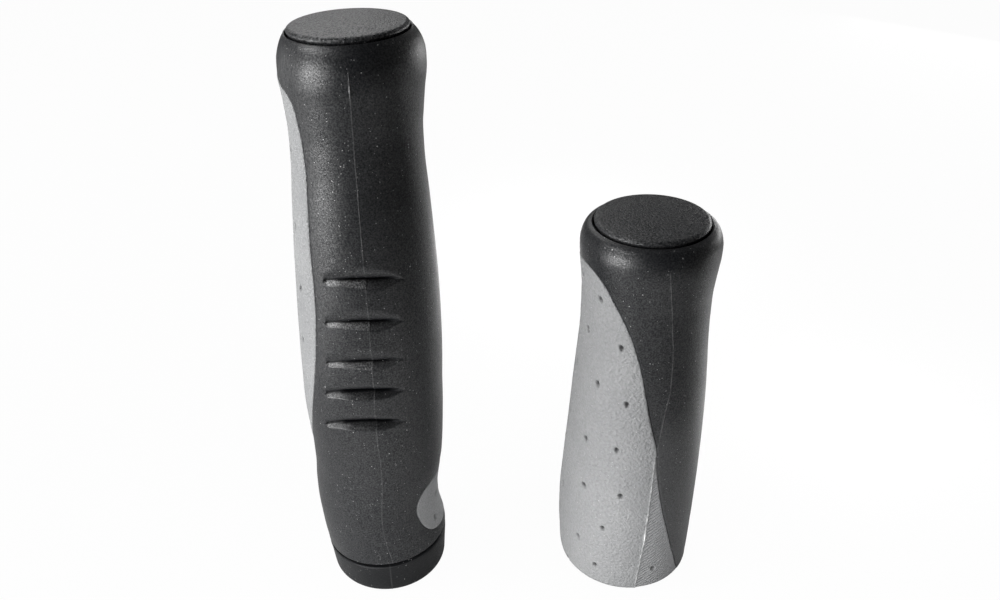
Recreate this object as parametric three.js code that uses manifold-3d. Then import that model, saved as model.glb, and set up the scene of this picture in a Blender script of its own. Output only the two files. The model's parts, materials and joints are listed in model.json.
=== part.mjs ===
// Pair of two-colour handlebar grips with push-in end plugs.
// Millimetres, +Z up. Each grip stands on its inner end, its bar bore along Z, outer end up.
// The long grip stands at -X with its finger side towards -Y; the short grip stands at +X
// with its palm side towards -Y. The two are mirrored designs of one family.
import * as THREE from 'three';
import { mergeVertices } from 'three/addons/utils/BufferGeometryUtils.js';
import Module from 'manifold-3d';

const wasm = await Module();
wasm.setup();

// ---------------------------------------------------------------- driving dimensions
const BAR_BORE_R = 11.15;      // bore for a 22.2 mm handlebar
const SLEEVE_R = 12.0;         // outside of the rigid sleeve
const SLEEVE_GAP = 0.1;        // radial gap sleeve to rubber
const KEY_HEIGHT = 0.4;        // anti-rotation keys on the sleeve
const KEY_WIDTH = 2.4;
const KEY_COUNT = 6;
const LIP_HOLE_R = 9.75;       // inward lip at the outer end, the bar stop
const LIP_THICK = 1.5;
const RUBBER_OVER_LIP = 1.6;   // rubber washer between lip and plug head
const STEM_HOLE_R = 9.9;       // hole in that washer
const SEAT_GAP = 0.2;          // plug head to its recess in the rim
const SEAT_DEPTH = 1.7;
const HEAD_PROUD = 1.75;       // dome above the rim
const HEAD_GAP = 0.2;
const STEM_R = 9.25;
const STEM_BORE_R = 7.9;
const STEM_BARB_R = 9.6;
const STEM_LENGTH = 18;
const PANEL_GAP = 0.3;         // window to panel
const PANEL_PROUD = 0.1;
const COLLAR_TOP = 8.9;        // mean height of the long grip's collar groove
const COLLAR_TILT = 0.8;       // the groove is this much higher at +X
const COLLAR_GROOVE = 1.0;
const GROOVE_DEPTH = 1.25;     // finger grooves
const GROOVE_HALF_HEIGHT = 2.5;
const GROOVE_HALF_ANGLE = 34;  // degrees
const GROOVE_CENTRE = 176.5;   // degrees from the palm side
const LONG_AXIS = [-30.828, -1.657]; // where the two bores stand, with the middle of the pair's box on the Z axis
const SHORT_AXIS = [30.808, 0.839];
const SEGMENTS = 36;

// Cross-sections: height, half width across X, centre offset along X, half depth along Y.
const LONG = {
  name: 'long', rim: 135.35, palm: +1, collar: true, headR: 11.75, headShift: 0.3, lean: 0.03,
  sections: [
    [0.0, 13.40, 0.45, 14.00], [0.7, 13.85, 0.42, 14.40], [2.0, 14.15, 0.40, 14.65],
    [5.0, 14.47, 0.30, 14.75], [8.0, 14.72, 0.22, 14.85], [10.0, 14.85, 0.12, 14.95],
    [14.0, 14.75, -0.52, 15.05], [18.0, 14.55, -1.05, 15.15], [23.0, 14.64, -1.28, 15.30],
    [28.0, 14.89, -1.00, 15.45], [34.0, 15.20, -0.35, 15.70], [42.0, 15.50, -0.14, 16.00],
    [52.0, 15.90, -0.28, 16.35], [62.0, 15.91, -0.05, 16.35], [72.0, 15.73, 0.15, 16.15],
    [82.0, 15.34, 0.28, 15.75], [92.0, 14.77, 0.30, 15.15], [102.0, 14.07, 0.31, 14.45],
    [110.0, 13.45, 0.34, 13.85], [116.0, 13.32, 0.38, 13.75], [120.0, 13.58, 0.45, 14.00],
    [124.0, 13.93, 0.52, 14.38], [128.0, 14.36, 0.56, 14.80], [130.5, 14.30, 0.58, 14.72],
    [132.5, 13.85, 0.54, 14.22], [134.0, 13.20, 0.45, 13.50], [134.9, 12.62, 0.35, 12.80],
    [135.35, 12.25, 0.30, 12.35],
  ],
  // panel rows: height, finger-side edge, tip-side edge (degrees from the palm side, + towards +X)
  panel: [
    [11.8, 72, 86], [12.1, 57, 97], [12.8, 43, 108], [14.2, 26, 118], [16.0, 10, 125.5], [18.5, -8, 130.5],
    [21.0, -21, 134], [23.5, -34, 135], [25.8, -46, 133], [27.2, -53.5, 129], [28.3, -58.5, 123], [28.9, -61.5, 108],
    [29.3, -63, 96], [30.2, -66.5, 84], [32.0, -74, 75.5], [35.0, -85.5, 67], [38.5, -97, 60], [43.0, -109.5, 52.5],
    [48.5, -120.9, 44.5], [55.5, -128.9, 35.8], [63.4, -135.5, 27.2], [71.1, -139.8, 19.3], [78.9, -142, 13.8],
    [85.5, -142.3, 10.2], [90.6, -141.2, 5.9], [97.2, -140.4, 0.0], [103.6, -139.9, -5.2], [109.9, -139.2, -11.6],
    [115.2, -138.0, -19.3], [118.8, -136.3, -26.7], [122.0, -134, -34.8], [124.5, -129.5, -41.5],
    [126.0, -119, -46], [127.3, -106, -51], [128.3, -94, -57.5], [128.8, -84, -65],
  ],
  fingerGrooves: [89.2, 79.8, 70.4, 62.1, 53.9],
};
const SHORT = {
  name: 'short', rim: 93.55, palm: -1, collar: false, headR: 12.5, headShift: 0.1, lean: 0.015,
  sections: [
    [0.0, 15.10, 0.00, 15.30], [0.6, 15.65, -0.10, 15.95], [1.5, 16.00, -0.25, 16.35],
    [2.5, 16.22, -0.35, 16.60], [6.5, 16.42, -0.41, 16.88], [12.5, 16.66, -0.53, 17.13],
    [18.5, 16.72, -0.49, 17.18], [26.5, 16.55, -0.25, 17.03], [34.5, 16.28, -0.01, 16.77],
    [42.5, 15.96, 0.19, 16.42], [50.5, 15.61, 0.31, 16.07], [58.5, 15.12, 0.33, 15.56],
    [66.5, 14.57, 0.33, 15.01], [72.5, 14.39, 0.27, 14.80], [77.5, 14.40, 0.22, 14.80],
    [81.5, 14.70, 0.20, 15.12], [85.0, 15.08, 0.18, 15.50], [87.5, 15.34, 0.16, 15.78],
    [89.3, 15.38, 0.15, 15.82], [91.0, 15.08, 0.15, 15.50], [92.3, 14.55, 0.14, 14.90],
    [93.1, 13.85, 0.12, 14.10], [93.55, 13.05, 0.10, 13.10],
  ],
  panel: [
    [-0.6, -118.1, 54.3], [1.53, -120.5, 50.5], [6.03, -125, 44.5], [11.03, -129.5, 37.9], [18.73, -135.3, 29.4],
    [25.73, -138.2, 21.8], [32.83, -139.9, 15.8], [40.53, -140.9, 11.4], [44.33, -141.1, 9.5], [48.73, -141.1, 5.2],
    [53.33, -140.9, 0.9], [58.33, -140.4, -3.2], [63.23, -139.9, -7.4], [67.83, -139.2, -12.6], [72.33, -138, -18.9],
    [75.93, -136.2, -26], [79.53, -132.8, -34.8], [81.83, -127.5, -40.5], [83.83, -116.5, -46], [85.33, -101, -52.5],
    [86.13, -92, -59], [86.53, -84, -66],
  ],
  fingerGrooves: [46.5, 37.1, 27.7, 19.4, 11.2],
};

// ---------------------------------------------------------------- small helpers
const rad = (d) => (d * Math.PI) / 180;

// Smooth monotone interpolation of one column of a table of rows sorted by column 0.
function interpolator(rows, column) {
  const x = rows.map((r) => r[0]);
  const y = rows.map((r) => r[column]);
  const n = x.length;
  const h = [], d = [], m = new Array(n).fill(0);
  for (let i = 0; i < n - 1; i++) { h.push(x[i + 1] - x[i]); d.push((y[i + 1] - y[i]) / h[i]); }
  for (let i = 1; i < n - 1; i++) {
    if (d[i - 1] * d[i] > 0) {
      const w1 = 2 * h[i] + h[i - 1], w2 = h[i] + 2 * h[i - 1];
      m[i] = (w1 + w2) / (w1 / d[i - 1] + w2 / d[i]);
    }
  }
  m[0] = d[0]; m[n - 1] = d[n - 2];
  return (t) => {
    const c = Math.min(Math.max(t, x[0]), x[n - 1]);
    let i = 0;
    while (i < n - 2 && c > x[i + 1]) i++;
    const s = (c - x[i]) / h[i], s2 = s * s, s3 = s2 * s;
    return (2 * s3 - 3 * s2 + 1) * y[i] + (s3 - 2 * s2 + s) * h[i] * m[i]
      + (-2 * s3 + 3 * s2) * y[i + 1] + (s3 - s2) * h[i] * m[i + 1];
  };
}

function signedVolume(positions, index) {
  const a = new THREE.Vector3(), b = new THREE.Vector3(), c = new THREE.Vector3();
  let v = 0;
  for (let i = 0; i < index.length; i += 3) {
    a.fromArray(positions, index[i] * 3);
    b.fromArray(positions, index[i + 1] * 3);
    c.fromArray(positions, index[i + 2] * 3);
    v += a.dot(b.cross(c)) / 6;
  }
  return v;
}

// A closed three.js geometry as a solid.
function solid(geometry) {
  let g = geometry.index ? geometry.clone() : geometry;
  for (const name of Object.keys(g.attributes)) if (name !== 'position') g.deleteAttribute(name);
  g = mergeVertices(g, 1e-4);
  const p = g.attributes.position.array;
  const src = g.index.array;
  let tri = [];
  for (let i = 0; i < src.length; i += 3) {
    const [a, b, c] = [src[i], src[i + 1], src[i + 2]];
    if (a !== b && b !== c && c !== a) tri.push(a, b, c);
  }
  if (signedVolume(p, tri) < 0) {
    for (let i = 0; i < tri.length; i += 3) [tri[i + 1], tri[i + 2]] = [tri[i + 2], tri[i + 1]];
  }
  return new wasm.Manifold(new wasm.Mesh({
    numProp: 3, vertProperties: new Float32Array(p), triVerts: new Uint32Array(tri),
  }));
}

function geometryOf(manifold) {
  const mesh = manifold.getMesh();
  const g = new THREE.BufferGeometry();
  g.setAttribute('position', new THREE.BufferAttribute(new Float32Array(mesh.vertProperties), 3));
  g.setIndex(new THREE.BufferAttribute(new Uint32Array(mesh.triVerts), 1));
  g.computeVertexNormals();
  return g;
}

// Solid of revolution about +Z from a profile of [radius, height] that starts and ends on the axis.
function turned(profile, segments = SEGMENTS) {
  const g = new THREE.LatheGeometry(profile.map(([r, z]) => new THREE.Vector2(r, z)), segments);
  g.rotateX(Math.PI / 2);
  return g;
}
const rod = (r, z0, z1) => solid(turned([[0, z0], [r, z0], [r, z1], [0, z1]]));

function deform(geometry, fn) {
  const p = geometry.attributes.position;
  const v = new THREE.Vector3();
  for (let i = 0; i < p.count; i++) {
    v.fromBufferAttribute(p, i);
    fn(v);
    p.setXYZ(i, v.x, v.y, v.z);
  }
  return geometry;
}

// Drops vertices that carry no shape.
const lean = (body, tolerance = 0.02) => body.simplify(tolerance);

// ---------------------------------------------------------------- one grip
function makeGrip(spec) {
  const halfWidth = interpolator(spec.sections, 1);
  const offset = interpolator(spec.sections, 2);
  const halfDepth = interpolator(spec.sections, 3);

  // Point of the outer skin, psi degrees from the palm side, + towards +X.
  const skin = (psi, z, out = 0) => {
    const s = Math.sin(rad(psi)), c = Math.cos(rad(psi));
    return new THREE.Vector3(
      offset(z) + (halfWidth(z) + out) * s,
      spec.palm * (halfDepth(z) + out) * c,
      z,
    );
  };

  // Solid outer form between two heights; `out` moves the whole skin outwards.
  const form = (z0, z1, out = 0, shift = () => 0) => {
    const rows = spec.sections.map((r) => r[0]).filter((z) => z > z0 + 0.4 && z < z1 - 0.4);
    const heights = [z0];
    for (const z of [...rows, z1]) {
      const last = heights[heights.length - 1];
      const n = Math.max(1, Math.ceil((z - last) / 10));
      for (let i = 1; i <= n; i++) heights.push(last + ((z - last) * i) / n);
    }
    const profile = [[0, z0], ...heights.map((z) => [1, z]), [0, z1]];
    return solid(deform(turned(profile), (v) => {
      const z = v.z;
      v.x = offset(z) * Math.hypot(v.x, v.y) + v.x * (halfWidth(z) + out);
      v.y *= halfDepth(z) + out;
      v.z = z + shift(v, z);
    }));
  };

  const top = spec.rim;
  const seatFloor = top - SEAT_DEPTH;
  const sleeveTop = seatFloor - RUBBER_OVER_LIP - SLEEVE_GAP;

  // Rigid sleeve: tube, keys, lip, and on the long grip the collar at the inner end.
  let core = rod(SLEEVE_R, 0, sleeveTop);
  const keyStart = spec.collar ? COLLAR_TOP + 4 : 4;
  const keyEnd = top - 26;
  const keys = (grow) => {
    let all = null;
    for (let i = 0; i < KEY_COUNT; i++) {
      const g = new THREE.BoxGeometry(1.6 + KEY_HEIGHT + grow, KEY_WIDTH + 2 * grow, keyEnd - keyStart + 2 * grow);
      g.translate(SLEEVE_R + (KEY_HEIGHT + grow - 1.6) / 2, 0, (keyStart + keyEnd) / 2);
      g.rotateZ(rad(30 + (360 / KEY_COUNT) * i));
      all = all ? all.add(solid(g)) : solid(g);
    }
    return all;
  };
  core = core.add(keys(0));
  const tilt = (v, z) => (COLLAR_TILT * v.x) / 14.5;
  if (spec.collar) {
    const z1 = COLLAR_TOP - COLLAR_GROOVE / 2;
    core = core.add(form(0, z1, 0, (v, z) => (z > z1 - 0.01 ? tilt(v, z) : 0)));
  }
  core = core.subtract(rod(BAR_BORE_R, -2, sleeveTop - LIP_THICK)).subtract(rod(LIP_HOLE_R, -2, top));

  // What the rubber parts are hollowed by: the sleeve with its gap, the plug seat and the stem hole.
  const hollow = rod(SLEEVE_R + SLEEVE_GAP, -2, sleeveTop + SLEEVE_GAP)
    .add(keys(SLEEVE_GAP))
    .add(rod(STEM_HOLE_R, sleeveTop - 1, top + 1))
    .add(rod(spec.headR + SEAT_GAP, seatFloor, top + 3).translate([spec.headShift, 0, 0]));

  // Panel outline swept outwards from the axis, grown by g on every side.
  const rows = spec.panel;
  const leftEdge = interpolator(rows, 1), rightEdge = interpolator(rows, 2);
  const lowZ = rows[0][0], highZ = rows[rows.length - 1][0];
  const meanR = 15;
  const edge = (z, side, g) => {
    let best = null;
    const steps = g > 0 ? 12 : 0;
    for (let i = -steps; i <= steps; i++) {
      const dz = steps ? (g * i) / steps : 0;
      const zz = z + dz;
      if (zz < lowZ - 1e-9 || zz > highZ + 1e-9) continue;
      const reach = ((Math.sqrt(Math.max(0, g * g - dz * dz)) / meanR) * 180) / Math.PI;
      const value = side < 0 ? leftEdge(zz) - reach : rightEdge(zz) + reach;
      if (best === null || (side < 0 ? value < best : value > best)) best = value;
    }
    return best;
  };
  const outline = (g) => {
    const zs = [];
    const all = [...rows.map((r) => r[0])];
    if (g > 0) {
      all[0] = lowZ - g * 0.98;
      all[all.length - 1] = highZ + g * 0.98;
      all.splice(1, 0, lowZ - g * 0.4);
      all.splice(all.length - 1, 0, highZ + g * 0.4);
    }
    for (let i = 0; i < all.length; i++) {
      zs.push(all[i]);
      if (i < all.length - 1 && all[i + 1] - all[i] > 8) zs.push((all[i] + all[i + 1]) / 2);
    }
    const cols = 10;
    const box = new THREE.BoxGeometry(1, 1, 1, cols, 1, zs.length - 1);
    return solid(deform(box, (v) => {
      const row = Math.round((v.z + 0.5) * (zs.length - 1));
      const z = zs[row];
      const a = edge(z, -1, g), b = edge(z, +1, g);
      const psi = rad(a + (b - a) * (v.x + 0.5));
      const r = v.y < 0 ? 9 : 24;
      v.set(r * Math.sin(psi), spec.palm * r * Math.cos(psi), z);
    }));
  };

  // Black body, with the window for the panel and the finger grooves.
  const z0 = spec.collar ? COLLAR_TOP + COLLAR_GROOVE / 2 : 0;
  let body = form(z0, top, 0, (v, z) => (spec.collar && z < z0 + 0.01 ? tilt(v, z) : 0));
  for (const zc of spec.fingerGrooves) {
    const lens = new THREE.SphereGeometry(1, 12, 6);
    deform(lens, (v) => {
      const psi = GROOVE_CENTRE + v.x * GROOVE_HALF_ANGLE;
      const z = zc + v.z * GROOVE_HALF_HEIGHT * (1 - 0.55 * v.x * v.x) - 1.2 * v.x * v.x;
      v.copy(skin(psi, z, v.y * GROOVE_DEPTH));
    });
    body = body.subtract(solid(lens));
  }
  body = body.subtract(outline(PANEL_GAP)).subtract(hollow);

  // Grey panel: the same skin inside the outline, a touch proud.
  const panelForm = form(spec.collar ? z0 + 0.6 : 0, top - 4, PANEL_PROUD);
  const panel = panelForm.intersect(outline(0)).subtract(hollow);

  // End plug: domed head on a hollow stem with three barbs.
  const seat = seatFloor + HEAD_GAP;
  const stemEnd = seat - STEM_LENGTH;
  const barb = (z) => [[STEM_R, z], [STEM_BARB_R, z + 1.1], [STEM_R, z + 1.6]];
  const crown = top + HEAD_PROUD;
  const head = [];
  const domeEdgeR = spec.headR - 0.6, domeEdgeZ = crown - 0.65;
  for (let i = 1; i <= 4; i++) {
    const t = i / 4;
    head.push([domeEdgeR * (1 - t), domeEdgeZ + 0.65 * (1 - (1 - t) * (1 - t))]);
  }
  const plug = solid(deform(turned([
    [0, seat - 0.8], [STEM_BORE_R, seat - 0.8], [STEM_BORE_R, stemEnd], [STEM_R - 0.45, stemEnd],
    [STEM_R, stemEnd + 0.9], ...barb(stemEnd + 3), ...barb(stemEnd + 7.5), ...barb(stemEnd + 12),
    [STEM_R, seat], [spec.headR, seat], [spec.headR, domeEdgeZ - 0.95],
    [spec.headR - 0.2, domeEdgeZ - 0.25], [domeEdgeR, domeEdgeZ], ...head,
  ], 32), (v) => {
    if (v.z > seat + 0.1 || (v.z > seat - 0.1 && Math.hypot(v.x, v.y) > STEM_R + 0.2)) v.x += spec.headShift;
  }));

  // The outer end leans a little: everything near it rises towards +X.
  const leant = (body) => body.warp((v) => {
    const t = Math.min(Math.max((v[2] - top + 18) / 15.5, 0), 1);
    v[2] += spec.lean * v[0] * t * t * (3 - 2 * t);
  });

  return {
    core: lean(leant(core)), body: lean(leant(body), 0.045), panel: lean(leant(panel), 0.045), plug: lean(leant(plug)),
  };
}

// ---------------------------------------------------------------- materials and assembly
const materials = {
  sleeve: () => new THREE.MeshStandardMaterial({ color: 0x2b2c2e, roughness: 0.62, metalness: 0 }),
  rubber: () => new THREE.MeshStandardMaterial({ color: 0x2d2e30, roughness: 0.78, metalness: 0 }),
  grey: () => new THREE.MeshStandardMaterial({ color: 0xa9aaab, roughness: 0.72, metalness: 0 }),
  plug: () => new THREE.MeshStandardMaterial({ color: 0x303133, roughness: 0.55, metalness: 0 }),
};

const pair = new THREE.Group();
pair.name = 'handlebar_grips';
for (const [spec, axis] of [[LONG, LONG_AXIS], [SHORT, SHORT_AXIS]]) {
  const made = makeGrip(spec);
  const grip = new THREE.Group();
  grip.name = `${spec.name}_grip`;
  grip.position.set(axis[0], axis[1], 0);
  const add = (name, manifold, material) => {
    const mesh = new THREE.Mesh(geometryOf(manifold), material);
    mesh.name = name;
    grip.add(mesh);
  };
  add(`${spec.name}_core_sleeve`, made.core, materials.sleeve());
  add(`${spec.name}_black_body`, made.body, materials.rubber());
  add(`${spec.name}_grey_panel`, made.panel, materials.grey());
  add(`${spec.name}_end_plug`, made.plug, materials.plug());
  pair.add(grip);
}

export default pair;
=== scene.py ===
"""Pair of two-colour handlebar grips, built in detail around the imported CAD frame.

Lengths are in millimetres inside the builders and in metres in the scene.
psi is the angle round a grip in degrees, 0 at the palm side and positive towards +X; t is the height along the skin.
"""

import json
import math

import bpy
import numpy as np
from mathutils import Matrix, Vector, geometry, kdtree, noise
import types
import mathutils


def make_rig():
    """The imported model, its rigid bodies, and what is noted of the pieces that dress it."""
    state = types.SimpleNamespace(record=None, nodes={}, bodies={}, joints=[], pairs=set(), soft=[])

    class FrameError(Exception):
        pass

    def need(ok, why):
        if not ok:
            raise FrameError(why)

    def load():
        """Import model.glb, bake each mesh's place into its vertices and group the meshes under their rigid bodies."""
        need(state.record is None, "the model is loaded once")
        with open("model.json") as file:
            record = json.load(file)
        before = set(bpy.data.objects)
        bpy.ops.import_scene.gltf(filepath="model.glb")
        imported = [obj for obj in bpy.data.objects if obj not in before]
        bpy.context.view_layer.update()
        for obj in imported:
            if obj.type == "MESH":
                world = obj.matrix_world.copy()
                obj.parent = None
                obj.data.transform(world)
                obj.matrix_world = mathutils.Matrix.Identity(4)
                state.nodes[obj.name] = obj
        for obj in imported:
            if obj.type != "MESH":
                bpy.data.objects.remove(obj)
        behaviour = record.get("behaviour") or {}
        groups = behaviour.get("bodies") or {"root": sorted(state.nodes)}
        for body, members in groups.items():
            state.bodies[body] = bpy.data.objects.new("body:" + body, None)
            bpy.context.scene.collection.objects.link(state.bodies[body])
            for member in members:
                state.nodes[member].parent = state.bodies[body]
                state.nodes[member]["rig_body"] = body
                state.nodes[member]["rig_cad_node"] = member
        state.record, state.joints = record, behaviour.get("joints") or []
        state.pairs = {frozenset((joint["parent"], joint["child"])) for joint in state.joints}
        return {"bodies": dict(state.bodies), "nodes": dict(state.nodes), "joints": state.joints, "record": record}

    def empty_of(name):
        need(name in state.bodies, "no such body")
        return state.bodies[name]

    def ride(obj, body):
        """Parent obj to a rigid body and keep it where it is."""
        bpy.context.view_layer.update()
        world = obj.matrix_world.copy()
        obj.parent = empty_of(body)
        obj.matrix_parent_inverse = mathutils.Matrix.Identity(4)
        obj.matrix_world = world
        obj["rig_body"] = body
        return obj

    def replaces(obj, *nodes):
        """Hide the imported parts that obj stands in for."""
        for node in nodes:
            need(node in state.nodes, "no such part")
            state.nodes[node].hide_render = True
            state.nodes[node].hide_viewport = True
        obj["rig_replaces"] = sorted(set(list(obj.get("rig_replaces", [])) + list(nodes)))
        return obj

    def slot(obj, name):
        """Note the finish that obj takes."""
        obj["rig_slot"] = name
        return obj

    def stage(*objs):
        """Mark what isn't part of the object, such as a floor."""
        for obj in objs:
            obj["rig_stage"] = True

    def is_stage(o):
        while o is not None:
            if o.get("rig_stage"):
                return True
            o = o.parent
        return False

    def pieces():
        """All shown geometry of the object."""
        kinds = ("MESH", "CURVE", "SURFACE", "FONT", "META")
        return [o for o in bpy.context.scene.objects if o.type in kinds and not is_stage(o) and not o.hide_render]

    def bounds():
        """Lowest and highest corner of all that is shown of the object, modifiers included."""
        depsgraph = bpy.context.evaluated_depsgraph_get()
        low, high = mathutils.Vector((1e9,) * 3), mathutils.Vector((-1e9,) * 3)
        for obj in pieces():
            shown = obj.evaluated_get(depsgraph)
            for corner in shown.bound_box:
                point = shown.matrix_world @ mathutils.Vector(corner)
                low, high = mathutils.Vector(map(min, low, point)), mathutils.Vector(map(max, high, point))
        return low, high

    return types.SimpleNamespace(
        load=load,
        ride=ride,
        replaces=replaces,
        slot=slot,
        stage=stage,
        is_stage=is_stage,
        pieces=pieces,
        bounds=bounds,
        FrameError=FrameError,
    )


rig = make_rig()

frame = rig.load()
cad_lo, cad_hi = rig.bounds()

MM = 0.001
UNROLL = 15.0  # radius at which the skin is laid flat
COLUMNS = 320  # columns of the turned strips
BORE_R, SLEEVE_R, LIP_R = 11.15, 12.0, 9.75
RUBBER_IN_R = 12.06
SEAT_GAP, SEAT_DEPTH = 0.16, 1.7
STEM_HOLE_R = 9.9
COLLAR_TOP, COLLAR_TILT, COLLAR_GROOVE = 8.9, 0.8, 1.0
PANEL_PROUD = 0.12


# ------------------------------------------------------------------ tables
LONG = dict(
    name="long", rim=135.35, palm=+1.0, collar=True, seam=138.7, bottom=COLLAR_TOP + COLLAR_GROOVE / 2, top=131.2,
    axis=(-30.828, -1.657), head_r=11.75, head_shift=0.3, lean=0.03,
    # height, half width across X, centre offset along X, half depth along Y
    sections=[
        (0.0, 13.95, 0.45, 14.60), (2.0, 14.20, 0.40, 14.70), (5.0, 14.47, 0.30, 14.75), (8.0, 14.72, 0.22, 14.85),
        (10.0, 14.85, 0.12, 14.95), (14.0, 14.75, -0.52, 15.05), (18.0, 14.55, -1.05, 15.15),
        (23.0, 14.64, -1.28, 15.30), (28.0, 14.89, -1.00, 15.45), (34.0, 15.20, -0.35, 15.70),
        (42.0, 15.50, -0.14, 16.00), (52.0, 15.90, -0.28, 16.35), (62.0, 15.91, -0.05, 16.35),
        (72.0, 15.73, 0.15, 16.15), (82.0, 15.34, 0.28, 15.75), (92.0, 14.77, 0.30, 15.15),
        (102.0, 14.07, 0.31, 14.45), (110.0, 13.45, 0.34, 13.85), (116.0, 13.32, 0.38, 13.75),
        (120.0, 13.58, 0.45, 14.00), (124.0, 13.93, 0.52, 14.38), (128.0, 14.36, 0.56, 14.80),
        (130.5, 14.30, 0.58, 14.72), (132.5, 13.85, 0.54, 14.22), (134.0, 13.20, 0.45, 13.50),
        (134.85, 12.62, 0.35, 12.80), (135.22, 12.30, 0.32, 12.40),
    ],
    outline=[
        (-84, 128.8), (-94, 128.3), (-104, 127.4), (-113.8, 126.4), (-122.8, 125.7), (-129.3, 124.5), (-133.2, 122.6),
        (-135.2, 119.8), (-137.5, 115.2), (-139.2, 109.9), (-139.7, 103.6), (-139.9, 97.2), (-140.9, 90.6),
        (-142.2, 85.0), (-142.0, 78.9), (-139.8, 71.1), (-135.5, 63.4), (-128.9, 55.5), (-120.9, 48.5),
        (-109.5, 43), (-97, 38.5), (-83, 34.2), (-66, 30), (-46, 25.7), (-21, 21), (0, 17.3), (20, 14.6), (41, 12.7),
        (60, 11.9), (78, 11.8), (92, 12.0), (103, 12.2), (113, 12.9), (119.4, 13.8), (124.8, 15.4), (129, 17.5),
        (132.4, 19.9), (134.6, 22), (134.6, 24.0), (132.3, 26.0), (128.0, 27.6), (121, 28.7), (111, 29.1),
        (100, 29.2), (90, 30), (80, 31.8), (70, 35), (61, 39.5), (52.5, 45), (44.5, 51), (35.8, 57.5), (27.2, 64.5),
        (19.3, 72), (13.8, 79.5), (9.7, 86.5), (5.2, 91.9), (0, 97.8), (-5.2, 103.9), (-11.6, 109.9), (-19.3, 115.4),
        (-27.5, 119.6), (-36.8, 123.4), (-47, 126.3), (-58, 128.1), (-71, 128.9),
    ],
    finger_parting=[(8, 168.6), (16, 169.2), (32.5, 170.5), (45, 171.5), (57.6, 172.2), (74, 172.8), (92.4, 173.4),
                    (111, 173.9), (124, 174.2), (134.3, 174.2)],
    palm_parting=[(10, 6), (30, 8), (60, 9), (80, 11), (95, 15), (104, 17.7), (112, 17.4), (118, 14.5), (125, 10), (133, 6)],
    dimples=[(-115.4, 96.7), (-121.8, 83.2), (-118.1, 70.1), (100.9, 21.9), (110.3, 16.1), (-86, 120.5), (-112, 112.5),
             (-58, 119.5), (-84, 106), (-54, 106.5), (-30, 112), (-92, 91.5), (-62, 92.5), (-34, 97.5), (-12, 98),
             (-94, 77), (-66, 78.5), (-38, 83.5), (-12, 84), (-96, 62), (-68, 64), (-40, 69), (-14, 70), (8, 74),
             (-104, 50), (-70, 49.5), (-42, 55), (-14, 56.5), (12, 59), (-78, 38.5), (-46, 41), (-18, 43), (10, 45.5),
             (34, 47), (-44, 29.8), (-16, 29.5), (12, 31.5), (40, 34), (8, 20.5), (34, 20.5), (60, 24), (82, 18.5)],
)
SHORT = dict(
    name="short", rim=93.55, palm=-1.0, collar=False, seam=100.0, bottom=0.0, top=89.9,
    axis=(30.808, 0.839), head_r=12.5, head_shift=0.1, lean=0.015,
    sections=[
        (0.0, 15.98, -0.15, 16.35), (1.2, 16.10, -0.25, 16.48), (2.5, 16.22, -0.35, 16.60), (6.5, 16.42, -0.41, 16.88),
        (12.5, 16.66, -0.53, 17.13), (18.5, 16.72, -0.49, 17.18), (26.5, 16.55, -0.25, 17.03),
        (34.5, 16.28, -0.01, 16.77), (42.5, 15.96, 0.19, 16.42), (50.5, 15.61, 0.31, 16.07),
        (58.5, 15.12, 0.33, 15.56), (66.5, 14.57, 0.33, 15.01), (72.5, 14.39, 0.27, 14.80),
        (77.5, 14.40, 0.22, 14.80), (81.5, 14.70, 0.20, 15.12), (85.0, 15.08, 0.18, 15.50),
        (87.5, 15.34, 0.16, 15.78), (89.3, 15.38, 0.15, 15.82), (91.0, 15.08, 0.15, 15.50),
        (92.3, 14.55, 0.14, 14.90), (93.1, 13.85, 0.12, 14.10), (93.45, 13.20, 0.10, 13.25),
    ],
    outline=[
        (-117.6, -4), (-118.1, -0.6), (-120.5, 1.53), (-125, 6.03), (-129.5, 11.03), (-135.3, 18.73), (-138.2, 25.73), (-139.9, 32.83),
        (-140.9, 40.53), (-141.1, 48.73), (-140.4, 58.33), (-139.2, 67.83), (-138, 72.33), (-136.2, 75.93),
        (-132.8, 79.53), (-127.5, 81.83), (-116.5, 84.03), (-103, 85.43), (-92, 86.23), (-82, 86.58), (-73, 86.63),
        (-64.8, 86.43), (-56.3, 85.73), (-45.5, 83.53), (-35.8, 79.93), (-26, 75.93), (-18.9, 72.33), (-12.6, 67.83),
        (-7.4, 63.23), (-3.2, 58.33), (0.9, 53.33), (5.2, 48.73), (9.3, 44.83), (10.6, 42.53), (11.6, 39.53), (15.8, 32.83), (21.8, 25.73),
        (29.4, 18.73), (37.9, 11.03), (48.6, 3.03), (54.3, -0.6), (57.6, -4),
    ],
    finger_parting=[(-1.47, 172), (18.53, 172.5), (46.53, 173.4), (58.53, 174), (76.53, 174.3), (92.03, 173.5)],
    palm_parting=[(-1.47, 4.2), (4.03, 5.2), (10.83, 7), (17.53, 8.7), (24.33, 8.9), (34.23, 9), (42.63, 8.8), (45.03, 10.3), (50.13, 12.2),
                  (56.43, 15.3), (59.43, 17.2), (65.53, 17.7), (69.73, 17.1), (73.63, 15.4), (79.33, 12.9), (85.43, 8.9), (90.43, 6)],
    dimples=[(-79.5, 82.83), (-50.5, 79.73), (-66.5, 70.13), (-27.3, 69.73), (-46.8, 58.63), (-18, 55.93), (-82, 59.03),
             (-84, 45.03), (-52.6, 42.53), (-22.6, 43.23), (-48.5, 29.53), (-14.8, 30.53), (-79, 22.93), (-26.1, 19.53),
             (-49.4, 12.93), (-31, 6.43), (19.8, 6.63), (-98, 72.03), (-106, 80.53), (-112, 62.53), (-114, 47.53), (-98, 35.03),
             (-120, 33.53), (-106, 19.53), (-86, 10.03), (-112, 6.53), (-126, 72.03), (-66, 1.13)],
)


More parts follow.
